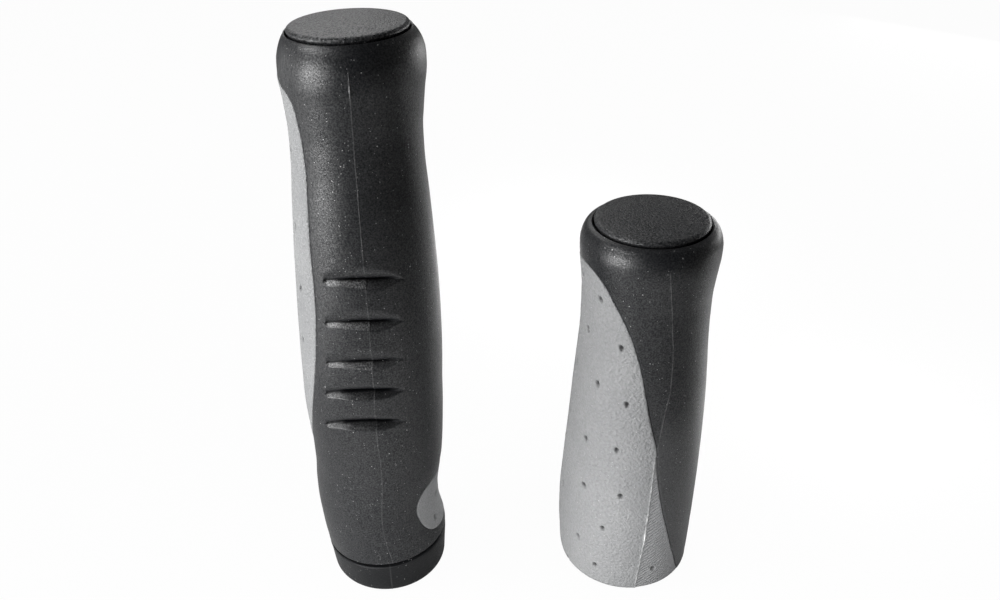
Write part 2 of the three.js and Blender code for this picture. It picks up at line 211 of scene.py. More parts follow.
def pchip(rows, column):
    """Smooth monotone curve through one column of a table of rows sorted by column 0."""
    x = np.array([r[0] for r in rows], float)
    y = np.array([r[column] for r in rows], float)
    h = np.diff(x)
    d = np.diff(y) / h
    m = np.zeros(len(x))
    for i in range(1, len(x) - 1):
        if d[i - 1] * d[i] > 0:
            w1, w2 = 2 * h[i] + h[i - 1], h[i] + 2 * h[i - 1]
            m[i] = (w1 + w2) / (w1 / d[i - 1] + w2 / d[i])
    m[0], m[-1] = d[0], d[-1]

    def f(t):
        t = np.clip(np.asarray(t, float), x[0], x[-1])
        i = np.clip(np.searchsorted(x, t) - 1, 0, len(h) - 1)
        s = (t - x[i]) / h[i]
        return ((2 * s**3 - 3 * s**2 + 1) * y[i] + (s**3 - 2 * s**2 + s) * h[i] * m[i]
                + (-2 * s**3 + 3 * s**2) * y[i + 1] + (s**3 - s**2) * h[i] * m[i + 1])

    return f


def smooth_curve(points, spacing, closed):
    """Centripetal Catmull-Rom curve through 2D points, resampled at even spacing."""
    p = np.array(points, float)
    if closed:
        p = np.vstack([p[-1], p, p[0], p[1]])
    else:
        p = np.vstack([2 * p[0] - p[1], p, 2 * p[-1] - p[-2]])
    out = []
    for i in range(1, len(p) - 2):
        p0, p1, p2, p3 = p[i - 1], p[i], p[i + 1], p[i + 2]
        t0 = 0.0
        t1 = t0 + math.sqrt(np.linalg.norm(p1 - p0)) + 1e-9
        t2 = t1 + math.sqrt(np.linalg.norm(p2 - p1)) + 1e-9
        t3 = t2 + math.sqrt(np.linalg.norm(p3 - p2)) + 1e-9
        t = np.linspace(t1, t2, 24, endpoint=False)[:, None]
        a1 = (t1 - t) / (t1 - t0) * p0 + (t - t0) / (t1 - t0) * p1
        a2 = (t2 - t) / (t2 - t1) * p1 + (t - t1) / (t2 - t1) * p2
        a3 = (t3 - t) / (t3 - t2) * p2 + (t - t2) / (t3 - t2) * p3
        b1 = (t2 - t) / (t2 - t0) * a1 + (t - t0) / (t2 - t0) * a2
        b2 = (t3 - t) / (t3 - t1) * a2 + (t - t1) / (t3 - t1) * a3
        out.append((t2 - t) / (t2 - t1) * b1 + (t - t1) / (t2 - t1) * b2)
    out.append(p[-2][None])
    dense = np.vstack(out)
    if not closed:
        pass
    seg = np.linalg.norm(np.diff(dense, axis=0), axis=1)
    run = np.concatenate([[0], np.cumsum(seg)])
    n = max(8, int(round(run[-1] / spacing)))
    at = np.linspace(0, run[-1], n + 1)
    res = np.column_stack([np.interp(at, run, dense[:, k]) for k in (0, 1)])
    return res[:-1] if closed else res


def inside(points, polygon):
    """Which 2D points lie inside a polygon."""
    x, y = points[:, 0], points[:, 1]
    hit = np.zeros(len(points), bool)
    a, b = polygon, np.roll(polygon, -1, axis=0)
    for (x1, y1), (x2, y2) in zip(a, b):
        if y1 == y2:
            continue
        c = (y1 > y) != (y2 > y)
        if c.any():
            hit[c] ^= x[c] < (x2 - x1) * (y[c] - y1) / (y2 - y1) + x1
    return hit


def offset_line(line, distance, closed):
    """A polyline moved sideways: positive is to its left."""
    if closed:
        d = np.roll(line, -1, axis=0) - np.roll(line, 1, axis=0)
    else:
        d = np.gradient(line, axis=0)
    n = np.column_stack([-d[:, 1], d[:, 0]])
    n /= np.maximum(np.linalg.norm(n, axis=1, keepdims=True), 1e-9)
    return line + n * distance


def soft_min(a, b, k):
    h = np.maximum(k - np.abs(a - b), 0) / k
    return np.minimum(a, b) - h * h * k / 4


def fbm(points, size, seed):
    """Smooth noise, about -1 to 1, at 3D points in mm."""
    off = Vector((seed * 17.31, seed * 5.77, seed * 9.13))
    return np.array([noise.noise(Vector(p) / size + off) for p in points])


class Points:
    """Collects 2D points, dropping any that come too close to the ones kept before."""

    def __init__(self):
        self.xy = []
        self.edges = []
        self.grid = {}

    def _near(self, p, d):
        k = 0.5
        r = int(math.ceil(d / k))
        cx, cy = int(math.floor(p[0] / k)), int(math.floor(p[1] / k))
        d2 = d * d
        for i in range(cx - r, cx + r + 1):
            for j in range(cy - r, cy + r + 1):
                for q in self.grid.get((i, j), ()):
                    e = (self.xy[q][0] - p[0]) ** 2 + (self.xy[q][1] - p[1]) ** 2
                    if e < d2:
                        return True
        return False

    def _keep(self, p):
        i = len(self.xy)
        self.xy.append((float(p[0]), float(p[1])))
        k = 0.5
        self.grid.setdefault((int(math.floor(p[0] / k)), int(math.floor(p[1] / k))), []).append(i)
        return i

    def loop(self, line, closed=True):
        """Boundary points, kept as they are and joined by edges. Returns their numbers."""
        ids = [self._keep(p) for p in line]
        self.edges += list(zip(ids[:-1], ids[1:]))
        if closed:
            self.edges.append((ids[-1], ids[0]))
        return ids

    def line(self, pts, gap, join=False):
        last = None
        for p in pts:
            if self._near(p, gap):
                last = None
                continue
            i = self._keep(p)
            if join and last is not None:
                self.edges.append((last, i))
            last = i

    def scatter(self, pts, gap):
        for p in pts:
            if not self._near(p, gap):
                self._keep(p)


def triangulate(points, keep):
    """Constrained triangles of the collected points. keep(centroids) says which stay. The points keep their numbers."""
    co = [Vector(p) for p in points.xy]
    v, _, f, orig, _, _ = geometry.delaunay_2d_cdt(co, points.edges, [], 0, 1e-6, True)
    back = {}
    extra = []
    for i, o in enumerate(orig):
        if o:
            back[i] = o[0]
        else:
            back[i] = len(points.xy) + len(extra)
            extra.append((v[i].x, v[i].y))
    xy = np.array(points.xy + extra, float)
    tri = np.array([[back[i] for i in t] for t in f if len(t) == 3], int)
    c = xy[tri].mean(axis=1)
    tri = tri[keep(c)]
    a, b, d = xy[tri[:, 0]], xy[tri[:, 1]], xy[tri[:, 2]]
    area = (b[:, 0] - a[:, 0]) * (d[:, 1] - a[:, 1]) - (b[:, 1] - a[:, 1]) * (d[:, 0] - a[:, 0])
    tri[area < 0] = tri[area < 0][:, [0, 2, 1]]
    tri = tri[np.abs(area) > 1e-9]
    return xy, tri


def hex_grid(x0, x1, y0, y1, h):
    rows = []
    dy = h * math.sqrt(3) / 2
    n = max(1, int((y1 - y0) / dy))
    for j in range(n + 1):
        y = y0 + (y1 - y0) * j / n
        m = max(1, int((x1 - x0) / h))
        xs = x0 + (x1 - x0) * (np.arange(m + 1) + (0.5 if j % 2 else 0.0)) / m
        xs = xs[(xs > x0) & (xs < x1)]
        rows.append(np.column_stack([xs, np.full(len(xs), y)]))
    return np.vstack(rows)


# ------------------------------------------------------------------ one grip's skin
class Grip:
    def __init__(self, spec):
        self.__dict__.update(spec)
        self.ax, self.ay = self.axis
        self.a, self.cx, self.b = (pchip(self.sections, k) for k in (1, 2, 3))
        self.side0 = self.bottom + (0.35 if self.collar else 1.2)  # above this the skin's t is its height
        self.corner = 0.35 if self.collar else 1.2
        self.t0 = self.side0 - self.corner * math.pi / 2
        self.seat_floor = self.rim - SEAT_DEPTH
        self.sleeve_top = self.seat_floor - 1.7
        ring = UNROLL * math.pi / 180
        self.deg = 1 / ring
        self.x0, self.x1 = (self.seam - 360) * ring, self.seam * ring
        pts = [(p * ring, z) for p, z in self.outline]
        self.edge = smooth_curve(pts, 0.3, closed=self.collar)
        if not self.collar:
            e = self.edge
            e = e[e[:, 1] > self.t0 + 0.05]
            first, last = e[0], e[-1]
            e = np.vstack([[first[0], self.t0], e, [last[0], self.t0]])
            self.edge = e
        if self.collar and polygon_area(self.edge) < 0:
            self.edge = self.edge[::-1].copy()

    def height(self, t):
        """Real height and inset of the skin at t: below side0 it turns round the lower corner."""
        t = np.asarray(t, float)
        ang = np.clip((self.side0 - t) / self.corner, 0, math.pi / 2)
        low = t < self.side0
        z = np.where(low, self.side0 - self.corner * np.sin(ang), t)
        inset = np.where(low, self.corner * (1 - np.cos(ang)), 0.0)
        return z, inset

    def tilt(self, x, z):
        if not self.collar:
            return np.zeros_like(z)
        f = np.clip((self.bottom + 7.0 - z) / 7.0, 0, 1)
        return COLLAR_TILT * x / 14.5 * f * f * (3 - 2 * f)

    def skin(self, psi, t, out=0.0):
        """Points of the plain outer form, in mm from the grip's axis."""
        z, inset = self.height(t)
        s, c = np.sin(np.radians(psi)), np.cos(np.radians(psi))
        x = self.cx(z) + (self.a(z) - inset + out) * s
        y = self.palm * (self.b(z) - inset + out) * c
        return np.column_stack([x, y, z + self.tilt(x, z)])

    def normals(self, psi, t):
        e = 0.02
        du = self.skin(psi + e * 3, t) - self.skin(psi - e * 3, t)
        dt = self.skin(psi, t + e) - self.skin(psi, t - e)
        n = np.cross(du, dt) * -self.palm
        n /= np.maximum(np.linalg.norm(n, axis=1, keepdims=True), 1e-12)
        return n

    def psi(self, u):
        return u * self.deg

    def leant(self, v):
        """The outer end leans: everything near it rises towards +X."""
        t = np.clip((v[:, 2] - self.rim + 18) / 15.5, 0, 1)
        v = v.copy()
        v[:, 2] += self.lean * v[:, 0] * t * t * (3 - 2 * t)
        return v


def polygon_area(p):
    x, y = p[:, 0], p[:, 1]
    return 0.5 * float(np.sum(x * np.roll(y, -1) - np.roll(x, -1) * y))


# finger grooves of the long grip: (x, z) of the left tip, z left and right of the parting line, (x, z) of the right tip,
# how much higher the crease runs for each mm it bulges out, rise of the upper face, depth left and right
GROOVES = [
    (-6.8, 87.55, 87.50, 87.38, 9.5, 87.45, 0.577, 3.60, 1.45, 1.45),
    (-7.3, 77.75, 77.80, 77.68, 9.1, 77.95, 0.62, 3.80, 1.40, 1.40),
    (-8.0, 67.75, 68.00, 67.88, 8.9, 68.75, 0.69, 3.60, 1.40, 1.30),
    (-9.0, 59.45, 60.15, 60.00, 8.7, 60.55, 0.74, 2.80, 1.55, 1.35),
    (-9.8, 50.80, 51.75, 51.65, 8.4, 52.15, 0.80, 2.75, 1.50, 1.40),
]
GROOVE_ARC = [(0, 0.12), (0.043, 0.54), (0.12, 0.79), (0.245, 0.93), (0.54, 1.0), (0.68, 0.94), (0.80, 0.71), (0.926, 0.36), (1, 0.1)]
GROOVE_BED = [(0, 0.0), (0.03, 0.40), (0.167, 0.52), (0.32, 0.78), (0.446, 0.95), (0.56, 1.0), (0.68, 0.98), (0.80, 0.78),
              (0.895, 0.46), (1, 0.0)]


def finger_side(g, x, z):
    """Outward distance of the plain skin on the finger side at x from the axis, and psi there (within the flat domain)."""
    s = np.clip((x - g.cx(z)) / g.a(z), -0.999, 0.999)
    ang = np.degrees(np.arcsin(s))
    psi = 180 - ang
    psi = np.where(psi > g.seam, psi - 360, psi)
    return g.b(z) * np.cos(np.radians(ang)), psi


def groove_lines(g, shift):
    """For each groove a function of x giving crease height, crease distance, rise of the upper face and depth."""
    out = []
    part = pchip(g.finger_parting, 1)
    arc, bed = pchip(GROOVE_ARC, 1), pchip(GROOVE_BED, 1)
    for xl, zl, zcl, zcr, xr, zr, look, rise, deep_l, deep_r in GROOVES:
        zl, zcl, zcr, zr = zl + shift, zcl + shift, zcr + shift, zr + shift
        zm = (zcl + zcr) / 2
        yl = float(finger_side(g, np.array([xl]), np.array([zl]))[0][0])
        yr = float(finger_side(g, np.array([xr]), np.array([zr]))[0][0])
        xp = float(g.a(zm) * math.sin(math.radians(180 - float(part(zm))))) + float(g.cx(zm))

        def f(x, xl=xl, zl=zl, zcl=zcl, zcr=zcr, xr=xr, zr=zr, yl=yl, yr=yr, xp=xp, look=look, rise=rise, dl=deep_l, dr=deep_r):
            t = np.clip((x - xl) / (xr - xl), 0, 1)
            left = zl + (zcl - zl) * np.clip((x - xl) / (xp - xl), 0, 1)
            right = zcr + (zr - zcr) * np.clip((x - xp) / (xr - xp), 0, 1) ** 1.5
            w = np.clip((x - xp) / 0.4 + 0.5, 0, 1)
            w = w * w * (3 - 2 * w)
            line = left * (1 - w) + right * w
            depth = bed(t) * (dl * (1 - w) + dr * w)
            crease = finger_side(g, x, line)[0] - depth
            chord = yl + (yr - yl) * t
            return line + np.maximum(crease - chord, 0) * look, crease, rise * arc(t), depth

        out.append((f, xl, xr, zm, xp))
    return out


def cut_grooves(g, pos, shift):
    """Moves skin points inwards where a finger groove takes rubber away, and returns masks for a painted highlight on
    the ledges and painted shade in the creases. pos is (n, 3) from the axis.
    """
    y_out = -g.palm * pos[:, 1]
    ledge_highlight, shade = np.zeros(len(pos)), np.zeros(len(pos))
    for f, xl, xr, zm, xp in groove_lines(g, shift):
        m = (pos[:, 0] > xl) & (pos[:, 0] < xr) & (np.abs(pos[:, 2] - zm) < 7) & (y_out > 0)
        if not m.any():
            continue
        x, z = pos[m, 0], pos[m, 2]
        zv, crease, rise, depth = f(x)
        dz = z - zv
        d = np.maximum(depth, 0.2)
        q = np.clip(np.maximum(dz, 0) / rise, 0, 1.5)
        up = d * (0.85 * q + 0.15 * q * (2 - q))
        wide = 0.27 if zm > 65 else 0.50
        slot = np.exp(-((dz - wide) / wide) ** 2) * np.clip((depth - 0.5) / 0.9, 0, 1)
        down = d * (np.maximum(-dz, 0) / d) ** 1.1
        cut = crease + np.maximum(up, down) + 0.02 - (0.75 if zm > 65 else 1.1) * slot
        # painted highlight: the ledge under each crease is made paler, brightest near its left tip and left of the
        # parting line where light from the left falls; the right half gets little
        ledge_highlight_level = (0.52 if zm > 75 else 0.42) if zm > 65 else 0.14
        side = np.where(x < xp, ledge_highlight_level + 0.70 * np.clip((xl + 4.6 - x) / 4.0, 0, 1) ** 1.3, 0.17 if zm > 65 else 0.09)
        lower = np.clip((y_out[m] - cut) / 0.12, 0, 1) * np.clip(-dz / 0.08, 0, 1)
        ledge_highlight[m] = np.maximum(ledge_highlight[m], lower * side)
        # painted shade: the crease and the slot above it are darkened, and on the lower grooves the ledge past its left
        # tip too; this becomes the shade attribute
        groove_shade = np.exp(-((dz - wide) / (1.5 * wide)) ** 2) * np.clip((depth - 0.55) / 0.7, 0, 1)
        if zm < 65:
            groove_shade = np.exp(-(np.maximum(np.abs(dz - 0.55) - 0.35, 0) / 0.55) ** 2) * np.clip((depth - 0.45) / 0.6, 0, 1)
            ledge_shade = np.clip(-dz / 0.1, 0, 1) * np.clip((x - xl - 4.2) / 2.0, 0, 1) * np.clip((y_out[m] - cut) / 0.12, 0, 1)
            groove_shade = np.maximum(groove_shade, 0.62 * ledge_shade)
        shade[m] = np.maximum(shade[m], groove_shade)
        y_out[m] = soft_min(y_out[m], cut, np.where(dz > 0, 0.26, 0.10) * np.clip(depth / 0.6, 0.03, 1))
    pos[:, 1] = -g.palm * y_out
    return pos, ledge_highlight, shade


# ------------------------------------------------------------------ solids
def make_object(name, verts, faces, smooth_angle=None):
    """verts in mm in the row frame."""
    me = bpy.data.meshes.new(name)
    me.from_pydata((np.asarray(verts) * MM).tolist(), [], [list(map(int, f)) for f in faces])
    me.validate()
    me.update()
    o = bpy.data.objects.new(name, me)
    bpy.context.scene.collection.objects.link(o)
    me.shade_smooth()
    if smooth_angle:
        me.set_sharp_from_angle(angle=math.radians(smooth_angle))
    return o


class Builder:
    """Gathers vertices and faces of one closed solid."""

    def __init__(self):
        self.v, self.f, self.n = [], [], 0

    def add(self, pts):
        self.v.append(np.asarray(pts, float))
        ids = np.arange(self.n, self.n + len(pts))
        self.n += len(pts)
        return ids

    def faces(self, tri):
        self.f += [tuple(t) for t in tri]

    def strip(self, a, b, closed=True, flip=False):
        """Quads between two equally long rows of vertex numbers."""
        m = len(a)
        for i in range(m if closed else m - 1):
            j = (i + 1) % m
            q = (a[i], a[j], b[j], b[i])
            self.f.append(q[::-1] if flip else q)

    def points(self):
        return np.vstack(self.v)


def ring_points(psi, palm, a, b, z, cx=0.0):
    r = np.radians(psi)
    z = np.broadcast_to(np.asarray(z, float), r.shape)
    return np.column_stack([cx + a * np.sin(r), palm * b * np.cos(r), z])


def signed_volume(v, faces):
    """Volume enclosed by faces that may be triangles or quads."""
    total = 0.0
    tri = []
    for f in faces:
        for k in range(1, len(f) - 1):
            tri.append((f[0], f[k], f[k + 1]))
    tri = np.array(tri)
    a, b, c = v[tri[:, 0]], v[tri[:, 1]], v[tri[:, 2]]
    return float(np.sum(np.einsum("ij,ij->i", a, np.cross(b, c))) / 6)


def outward(v, faces):
    if signed_volume(v, faces) < 0:
        faces = [tuple(f)[::-1] for f in faces]
    return faces


def place(g, v):
    v = g.leant(v)
    v[:, 2] = np.maximum(v[:, 2], 0.0)
    return v + np.array([g.ax, g.ay, 0.0])


def parting_distance(g, u, t, rows):
    """Sideways distance in mm from a parting line given as (t, psi) rows."""
    f = pchip(rows, 1)
    psi = f(t)
    psi = np.where(psi > g.seam, psi - 360, psi)
    d = u - psi / g.deg
    lo, hi = rows[0][0], rows[-1][0]
    return d, (t >= lo - 0.2) & (t <= hi + 0.2)


def ridge_rows(g, rows, offsets, step):
    f = pchip(rows, 1)
    t = np.arange(max(rows[0][0], g.t0 + 0.2), min(rows[-1][0], g.top - 0.2), step)
    psi = f(t)
    psi = np.where(psi > g.seam, psi - 360, psi)
    return [np.column_stack([psi / g.deg + o, t]) for o in offsets]


def build_black(g):
    """The black rubber body: outer skin with a window, rim, plug seat, bore, and the walls between them."""
    shift = g.rim - 135.0
    edge = g.edge
    P = Points()
    n_col = COLUMNS
    us = np.linspace(g.x0, g.x1, n_col + 1)
    n_seam = int((g.top - g.t0) / 0.55)
    ts = np.linspace(g.t0, g.top, n_seam + 1)
    # domain boundary: bottom row, right seam, top row, left seam
    if g.collar:
        low_us = us
        window = P.loop(edge)
        bottom = P.loop(np.column_stack([low_us, np.full(n_col + 1, g.t0)]), closed=False)
    else:
        ul, ur = edge[0][0], edge[-1][0]
        left_us = us[us < ul - 0.12]
        right_us = us[us > ur + 0.12]
        window = P.loop(edge, closed=False)
        bl = P.loop(np.column_stack([left_us, np.full(len(left_us), g.t0)]), closed=False)
        br = P.loop(np.column_stack([right_us, np.full(len(right_us), g.t0)]), closed=False)
        P.edges += [(bl[-1], window[0]), (window[-1], br[0])]
        bottom = bl + [window[0]], [window[-1]] + br
    top = P.loop(np.column_stack([us, np.full(n_col + 1, g.top)]), closed=False)
    first = bottom[0] if g.collar else bl[0]
    last = bottom[-1] if g.collar else br[-1]
    ls = P.loop(np.column_stack([np.full(n_seam - 1, g.x0), ts[1:-1]]), closed=False)
    rs = P.loop(np.column_stack([np.full(n_seam - 1, g.x1), ts[1:-1]]), closed=False)
    P.edges += [(first, ls[0]), (ls[-1], top[0]), (last, rs[0]), (rs[-1], top[-1])]
    seam_pairs = [(first, last), (top[0], top[-1])] + list(zip(ls, rs))
    hole = edge if g.collar else np.vstack([edge, [edge[-1][0], -99], [edge[0][0], -99]])
    hole_poly = hole
    # rows that follow the window edge
    side = -1 if polygon_area(hole_poly) > 0 else 1
    for d in (0.05, 0.13, 0.24, 0.45, 0.8):
        line = offset_line(edge, side * d, closed=g.collar)
        line = line[(line[:, 1] > g.t0 + 0.04)]
        P.line(line, 0.03 if d < 0.2 else 0.15)
    # finger grooves
    for f, xl, xr, zm, xp in groove_lines(g, shift):
        x = np.concatenate([[xl + 0.02, xl + 0.1, xl + 0.22, xl + 0.36], np.arange(xl + 0.5, xr - 0.3, 0.27), [xr - 0.2, xr - 0.05]])
        zv, crease, rise, depth = f(x)
        for k in (0.0, -1.0, 1.0, 0.03, 0.10, 0.18, -0.12, -0.3, -0.5, -0.7, -0.88, -1.15, -1.4, 0.06, 0.14, 0.25, 0.38, 0.52, 0.66, 0.8, 0.92, 1.08,
                  1.2):
            z = zv + k * (depth if k <= 0 else rise)
            _, psi = finger_side(g, x, z)
            P.line(np.column_stack([psi / g.deg, z]), 0.07, join=False)
        x = np.arange(xp - 0.3, xp + 0.31, 0.1)
        for z in np.arange(zm - 1.9, zm + 4.4, 0.16):
            _, psi = finger_side(g, x, np.full(len(x), z))
            P.line(np.column_stack([psi / g.deg, np.full(len(x), z)]), 0.07)
    # parting lines
    for rows in (g.finger_parting, g.palm_parting):
        for line in ridge_rows(g, rows, (0, -0.08, 0.08, -0.18, 0.18, -0.34, 0.34, -0.6, 0.6), 0.33):
            free = ~inside(line, hole_poly) & (line[:, 0] > g.x0 + 0.1) & (line[:, 0] < g.x1 - 0.1)
            P.line(line[free], 0.06)
    # lower corner rows
    for t in np.linspace(g.t0, g.side0 + 0.4, 7)[1:]:
        u = us[1:-1]
        line = np.column_stack([u, np.full(len(u), t)])
        P.line(line[~inside(line, hole_poly)], 0.12)
    grid = hex_grid(g.x0 + 0.3, g.x1 - 0.3, g.t0 + 0.4, g.top - 0.3, 0.85)
    grid = grid[~inside(grid, hole_poly)]
    P.scatter(grid, 0.42)
    xy, tri = triangulate(P, lambda c: (~inside(c, hole_poly)) & (c[:, 1] > g.t0 - 1e-6))
    psi = g.psi(xy[:, 0])
    pos = g.skin(psi, xy[:, 1])
    nrm = g.normals(psi, xy[:, 1])
    pos, ledge_highlight, shade = cut_grooves(g, pos, shift)
    # details along the normal
    d = np.zeros(len(xy))
    line = np.zeros(len(xy))
    # each parting line gets a low ridge, and a mask for a painted highlight along it that is kept off the painted ledge
    # highlight
    for rows, h in ((g.finger_parting, 0.065), (g.palm_parting, 0.065)):
        u, on = parting_distance(g, xy[:, 0], xy[:, 1], rows)
        d += h * np.where(on, np.exp(-(u / 0.11) ** 2), 0)
        line = np.maximum(line, np.where(on, np.exp(-(u / 0.085) ** 2), 0) * (1 - 0.75 * np.clip(ledge_highlight * 3, 0, 1)))
    lit_facet = np.zeros(len(xy))
    if not g.collar:
        # painted light: the black on the palm side of the lower parting line is made paler, standing for its different
        # facing
        u, on = parting_distance(g, xy[:, 0], np.maximum(xy[:, 1], g.palm_parting[0][0]), g.palm_parting)
        away = u * np.sign(xy[:, 0] - u - edge[:, 0].mean())
        lit_facet = np.clip((55 - xy[:, 1]) / 10, 0, 1) * np.clip(away / 0.15 + 0.5, 0, 1) * np.clip((22 - np.abs(u)) / 9, 0, 1)
        # the painted highlight along the parting lines is stronger on the short grip
        line *= 1.8
        # the palm half meets the other mould half in a soft crease beside the panel
        u, on = parting_distance(g, xy[:, 0], xy[:, 1], g.palm_parting)
        fade = np.clip((62.5 - xy[:, 1]) / 12, 0, 1) * (xy[:, 1] > 38.5)
        d += np.where(on & (u < 0), -0.22 * fade * (1 - np.exp(u / 1.2)), 0)
    else:
        # flash near the outer end: a raised fin, with a painted highlight along it
        u, on = parting_distance(g, xy[:, 0], xy[:, 1], g.finger_parting)
        flash = np.exp(-(u / 0.13) ** 2) * np.exp(-((xy[:, 1] - 127.4) / 1.2) ** 2)
        d += 0.14 * flash
        line += 1.6 * flash
    near = np.full(len(xy), 9.0)
    kd = kdtree.KDTree(len(edge))
    for i, p in enumerate(edge):
        kd.insert((p[0], p[1], 0), i)
    kd.balance()
    close = (np.abs(xy[:, 0] - np.clip(xy[:, 0], edge[:, 0].min() - 2, edge[:, 0].max() + 2)) < 1e-9)
    for i in np.nonzero(close)[0]:
        near[i] = kd.find((xy[i, 0], xy[i, 1], 0))[2]
    r = 0.16
    q = np.clip(1 - near / r, 0, 1)
    d -= r * (1 - np.sqrt(np.maximum(1 - q * q, 0)))
    d += 0.02 * fbm(pos, 7.0, 1) + 0.012 * fbm(pos, 2.6, 2)
    d *= np.clip((g.top - xy[:, 1]) / 1.0, 0, 1)
    pos = pos + nrm * d[:, None]

    B = Builder()
    skin_ids = B.add(pos)
    B.faces(skin_ids[tri])
    weld = {}
    for a, b in seam_pairs:
        weld[b] = a
    psi_cols = g.psi(us[:-1])
    top_ids = [top[i] for i in range(n_col)]
    # rim, seat and stem hole
    seat_r = g.head_r + SEAT_GAP
    knots = [(g.top, float(g.a(g.top)), float(g.cx(g.top)), float(g.b(g.top)))]
    knots += [r for r in g.sections if r[0] > g.top + 0.3] + [(g.rim, seat_r + 0.4, g.head_shift, seat_r + 0.4)]
    run = np.concatenate([[0], np.cumsum([math.hypot(q[0] - p[0], q[1] - p[1]) for p, q in zip(knots[:-1], knots[1:])])])
    curves = [pchip([(d, k[c]) for d, k in zip(run, knots)], 1) for c in range(4)]
    rows = []
    for d in np.linspace(0, run[-1], 20)[1:]:
        z, ra, cc, rb = (float(f(d)) for f in curves)
        rows.append((ra, rb, z, cc))
    for k in (30, 60, 90):
        s, c = math.sin(math.radians(k)), math.cos(math.radians(k))
        rows.append((seat_r + 0.4 - 0.4 * s, seat_r + 0.4 - 0.4 * s, g.rim - 0.4 * (1 - c), g.head_shift))
    rows += [(seat_r, seat_r, g.rim - 0.8, g.head_shift), (seat_r, seat_r, g.seat_floor + 0.25, g.head_shift),
             (seat_r - 0.2, seat_r - 0.2, g.seat_floor, g.head_shift), (STEM_HOLE_R + 0.1, STEM_HOLE_R + 0.1, g.seat_floor, 0),
             (STEM_HOLE_R, STEM_HOLE_R, g.seat_floor - 0.1, 0), (STEM_HOLE_R, STEM_HOLE_R, g.sleeve_top, 0),
             (RUBBER_IN_R, RUBBER_IN_R, g.sleeve_top, 0)]
    prev = np.array([skin_ids[i] for i in top_ids])
    for ra, rb, z, c in rows:
        ids = B.add(ring_points(psi_cols, g.palm, ra, rb, z, c))
        B.strip(prev, ids)
        prev = ids
    # inner wall of the bore with the same window, coarse
    Q = Points()
    zt = g.sleeve_top
    ez, _ = g.height(edge[:, 1])
    zb = g.bottom
    inner_edge = np.column_stack([edge[:, 0], ez])
    if g.collar:
        qw = Q.loop(inner_edge)
        qb = Q.loop(np.column_stack([us, np.full(n_col + 1, zb)]), closed=False)
    else:
        qw = Q.loop(inner_edge, closed=False)
        ql = Q.loop(np.column_stack([left_us, np.full(len(left_us), zb)]), closed=False)
        qr = Q.loop(np.column_stack([right_us, np.full(len(right_us), zb)]), closed=False)
        Q.edges += [(ql[-1], qw[0]), (qw[-1], qr[0])]
        qb = ql + [qw[0]], [qw[-1]] + qr
    qt = Q.loop(np.column_stack([us, np.full(n_col + 1, zt)]), closed=False)
    qf, qe = (qb[0], qb[-1]) if g.collar else (ql[0], qr[-1])
    zs = np.linspace(zb, zt, 30)[1:-1]
    q1 = Q.loop(np.column_stack([np.full(len(zs), g.x0), zs]), closed=False)
    q2 = Q.loop(np.column_stack([np.full(len(zs), g.x1), zs]), closed=False)
    Q.edges += [(qf, q1[0]), (q1[-1], qt[0]), (qe, q2[0]), (q2[-1], qt[-1])]
    hole_in = inner_edge if g.collar else np.vstack([inner_edge, [inner_edge[-1][0], -99], [inner_edge[0][0], -99]])
    grid = hex_grid(g.x0 + 1, g.x1 - 1, zb + 1.2, zt - 1.2, 2.6)
    Q.scatter(grid[~inside(grid, hole_in)], 1.2)
    qxy, qtri = triangulate(Q, lambda c: (~inside(c, hole_in)) & (c[:, 1] > zb - 1e-6))
    ipos = ring_points(g.psi(qxy[:, 0]), g.palm, RUBBER_IN_R, RUBBER_IN_R, qxy[:, 1])
    ipos[:, 2] += np.where(np.abs(qxy[:, 1] - zb) < 1e-6, g.tilt(ipos[:, 0] * 0 + 0.0, qxy[:, 1]), 0)
    in_ids = B.add(ipos)
    B.faces(in_ids[qtri][:, ::-1])
    B.strip(prev, in_ids[qt[:-1]])
    if g.collar:
        B.strip(in_ids[qb[:-1]], skin_ids[bottom[:-1]])
        B.strip(skin_ids[window], in_ids[qw])
    else:
        for lo_ids, lo_in in zip(bottom, qb):
            B.strip(in_ids[lo_in], skin_ids[lo_ids], closed=False)
        B.strip(skin_ids[window], in_ids[qw], closed=False)
    for a, b in seam_pairs:
        weld[skin_ids[b]] = skin_ids[a]
    weld = {skin_ids[b]: skin_ids[a] for a, b in seam_pairs}
    weld.update({in_ids[b]: in_ids[a] for a, b in [(qf, qe), (qt[0], qt[-1])] + list(zip(q1, q2))})
    v = B.points()
    faces = [tuple(weld.get(i, i) for i in f) for f in B.f]
    faces = [f for f in faces if len(set(f)) == len(f)]
    faces = fix_winding(v, faces)
    used = sorted({i for f in faces for i in f})
    v, faces = compact(v, faces)
    o = make_object(g.name + "_body_rubber", place(g, v), faces)
    paint(o, "line", line, used)
    paint(o, "ledge_highlight", ledge_highlight, used)
    paint(o, "shade", shade, used)
    paint(o, "lit_facet", lit_facet, used)
    return o, edge


def paint(o, name, values, used):
    """Stores one number per vertex for the materials; vertices past the end of values get 0."""
    full = np.zeros(max(used) + 1)
    n = min(len(full), len(values))
    full[:n] = values[:n]
    at = o.data.attributes.new(name, "FLOAT", "POINT")
    at.data.foreach_set("value", full[used].astype(np.float32))


def compact(v, faces):
    used = sorted({i for f in faces for i in f})
    new = {i: k for k, i in enumerate(used)}
    return v[used], [tuple(new[i] for i in f) for f in faces]


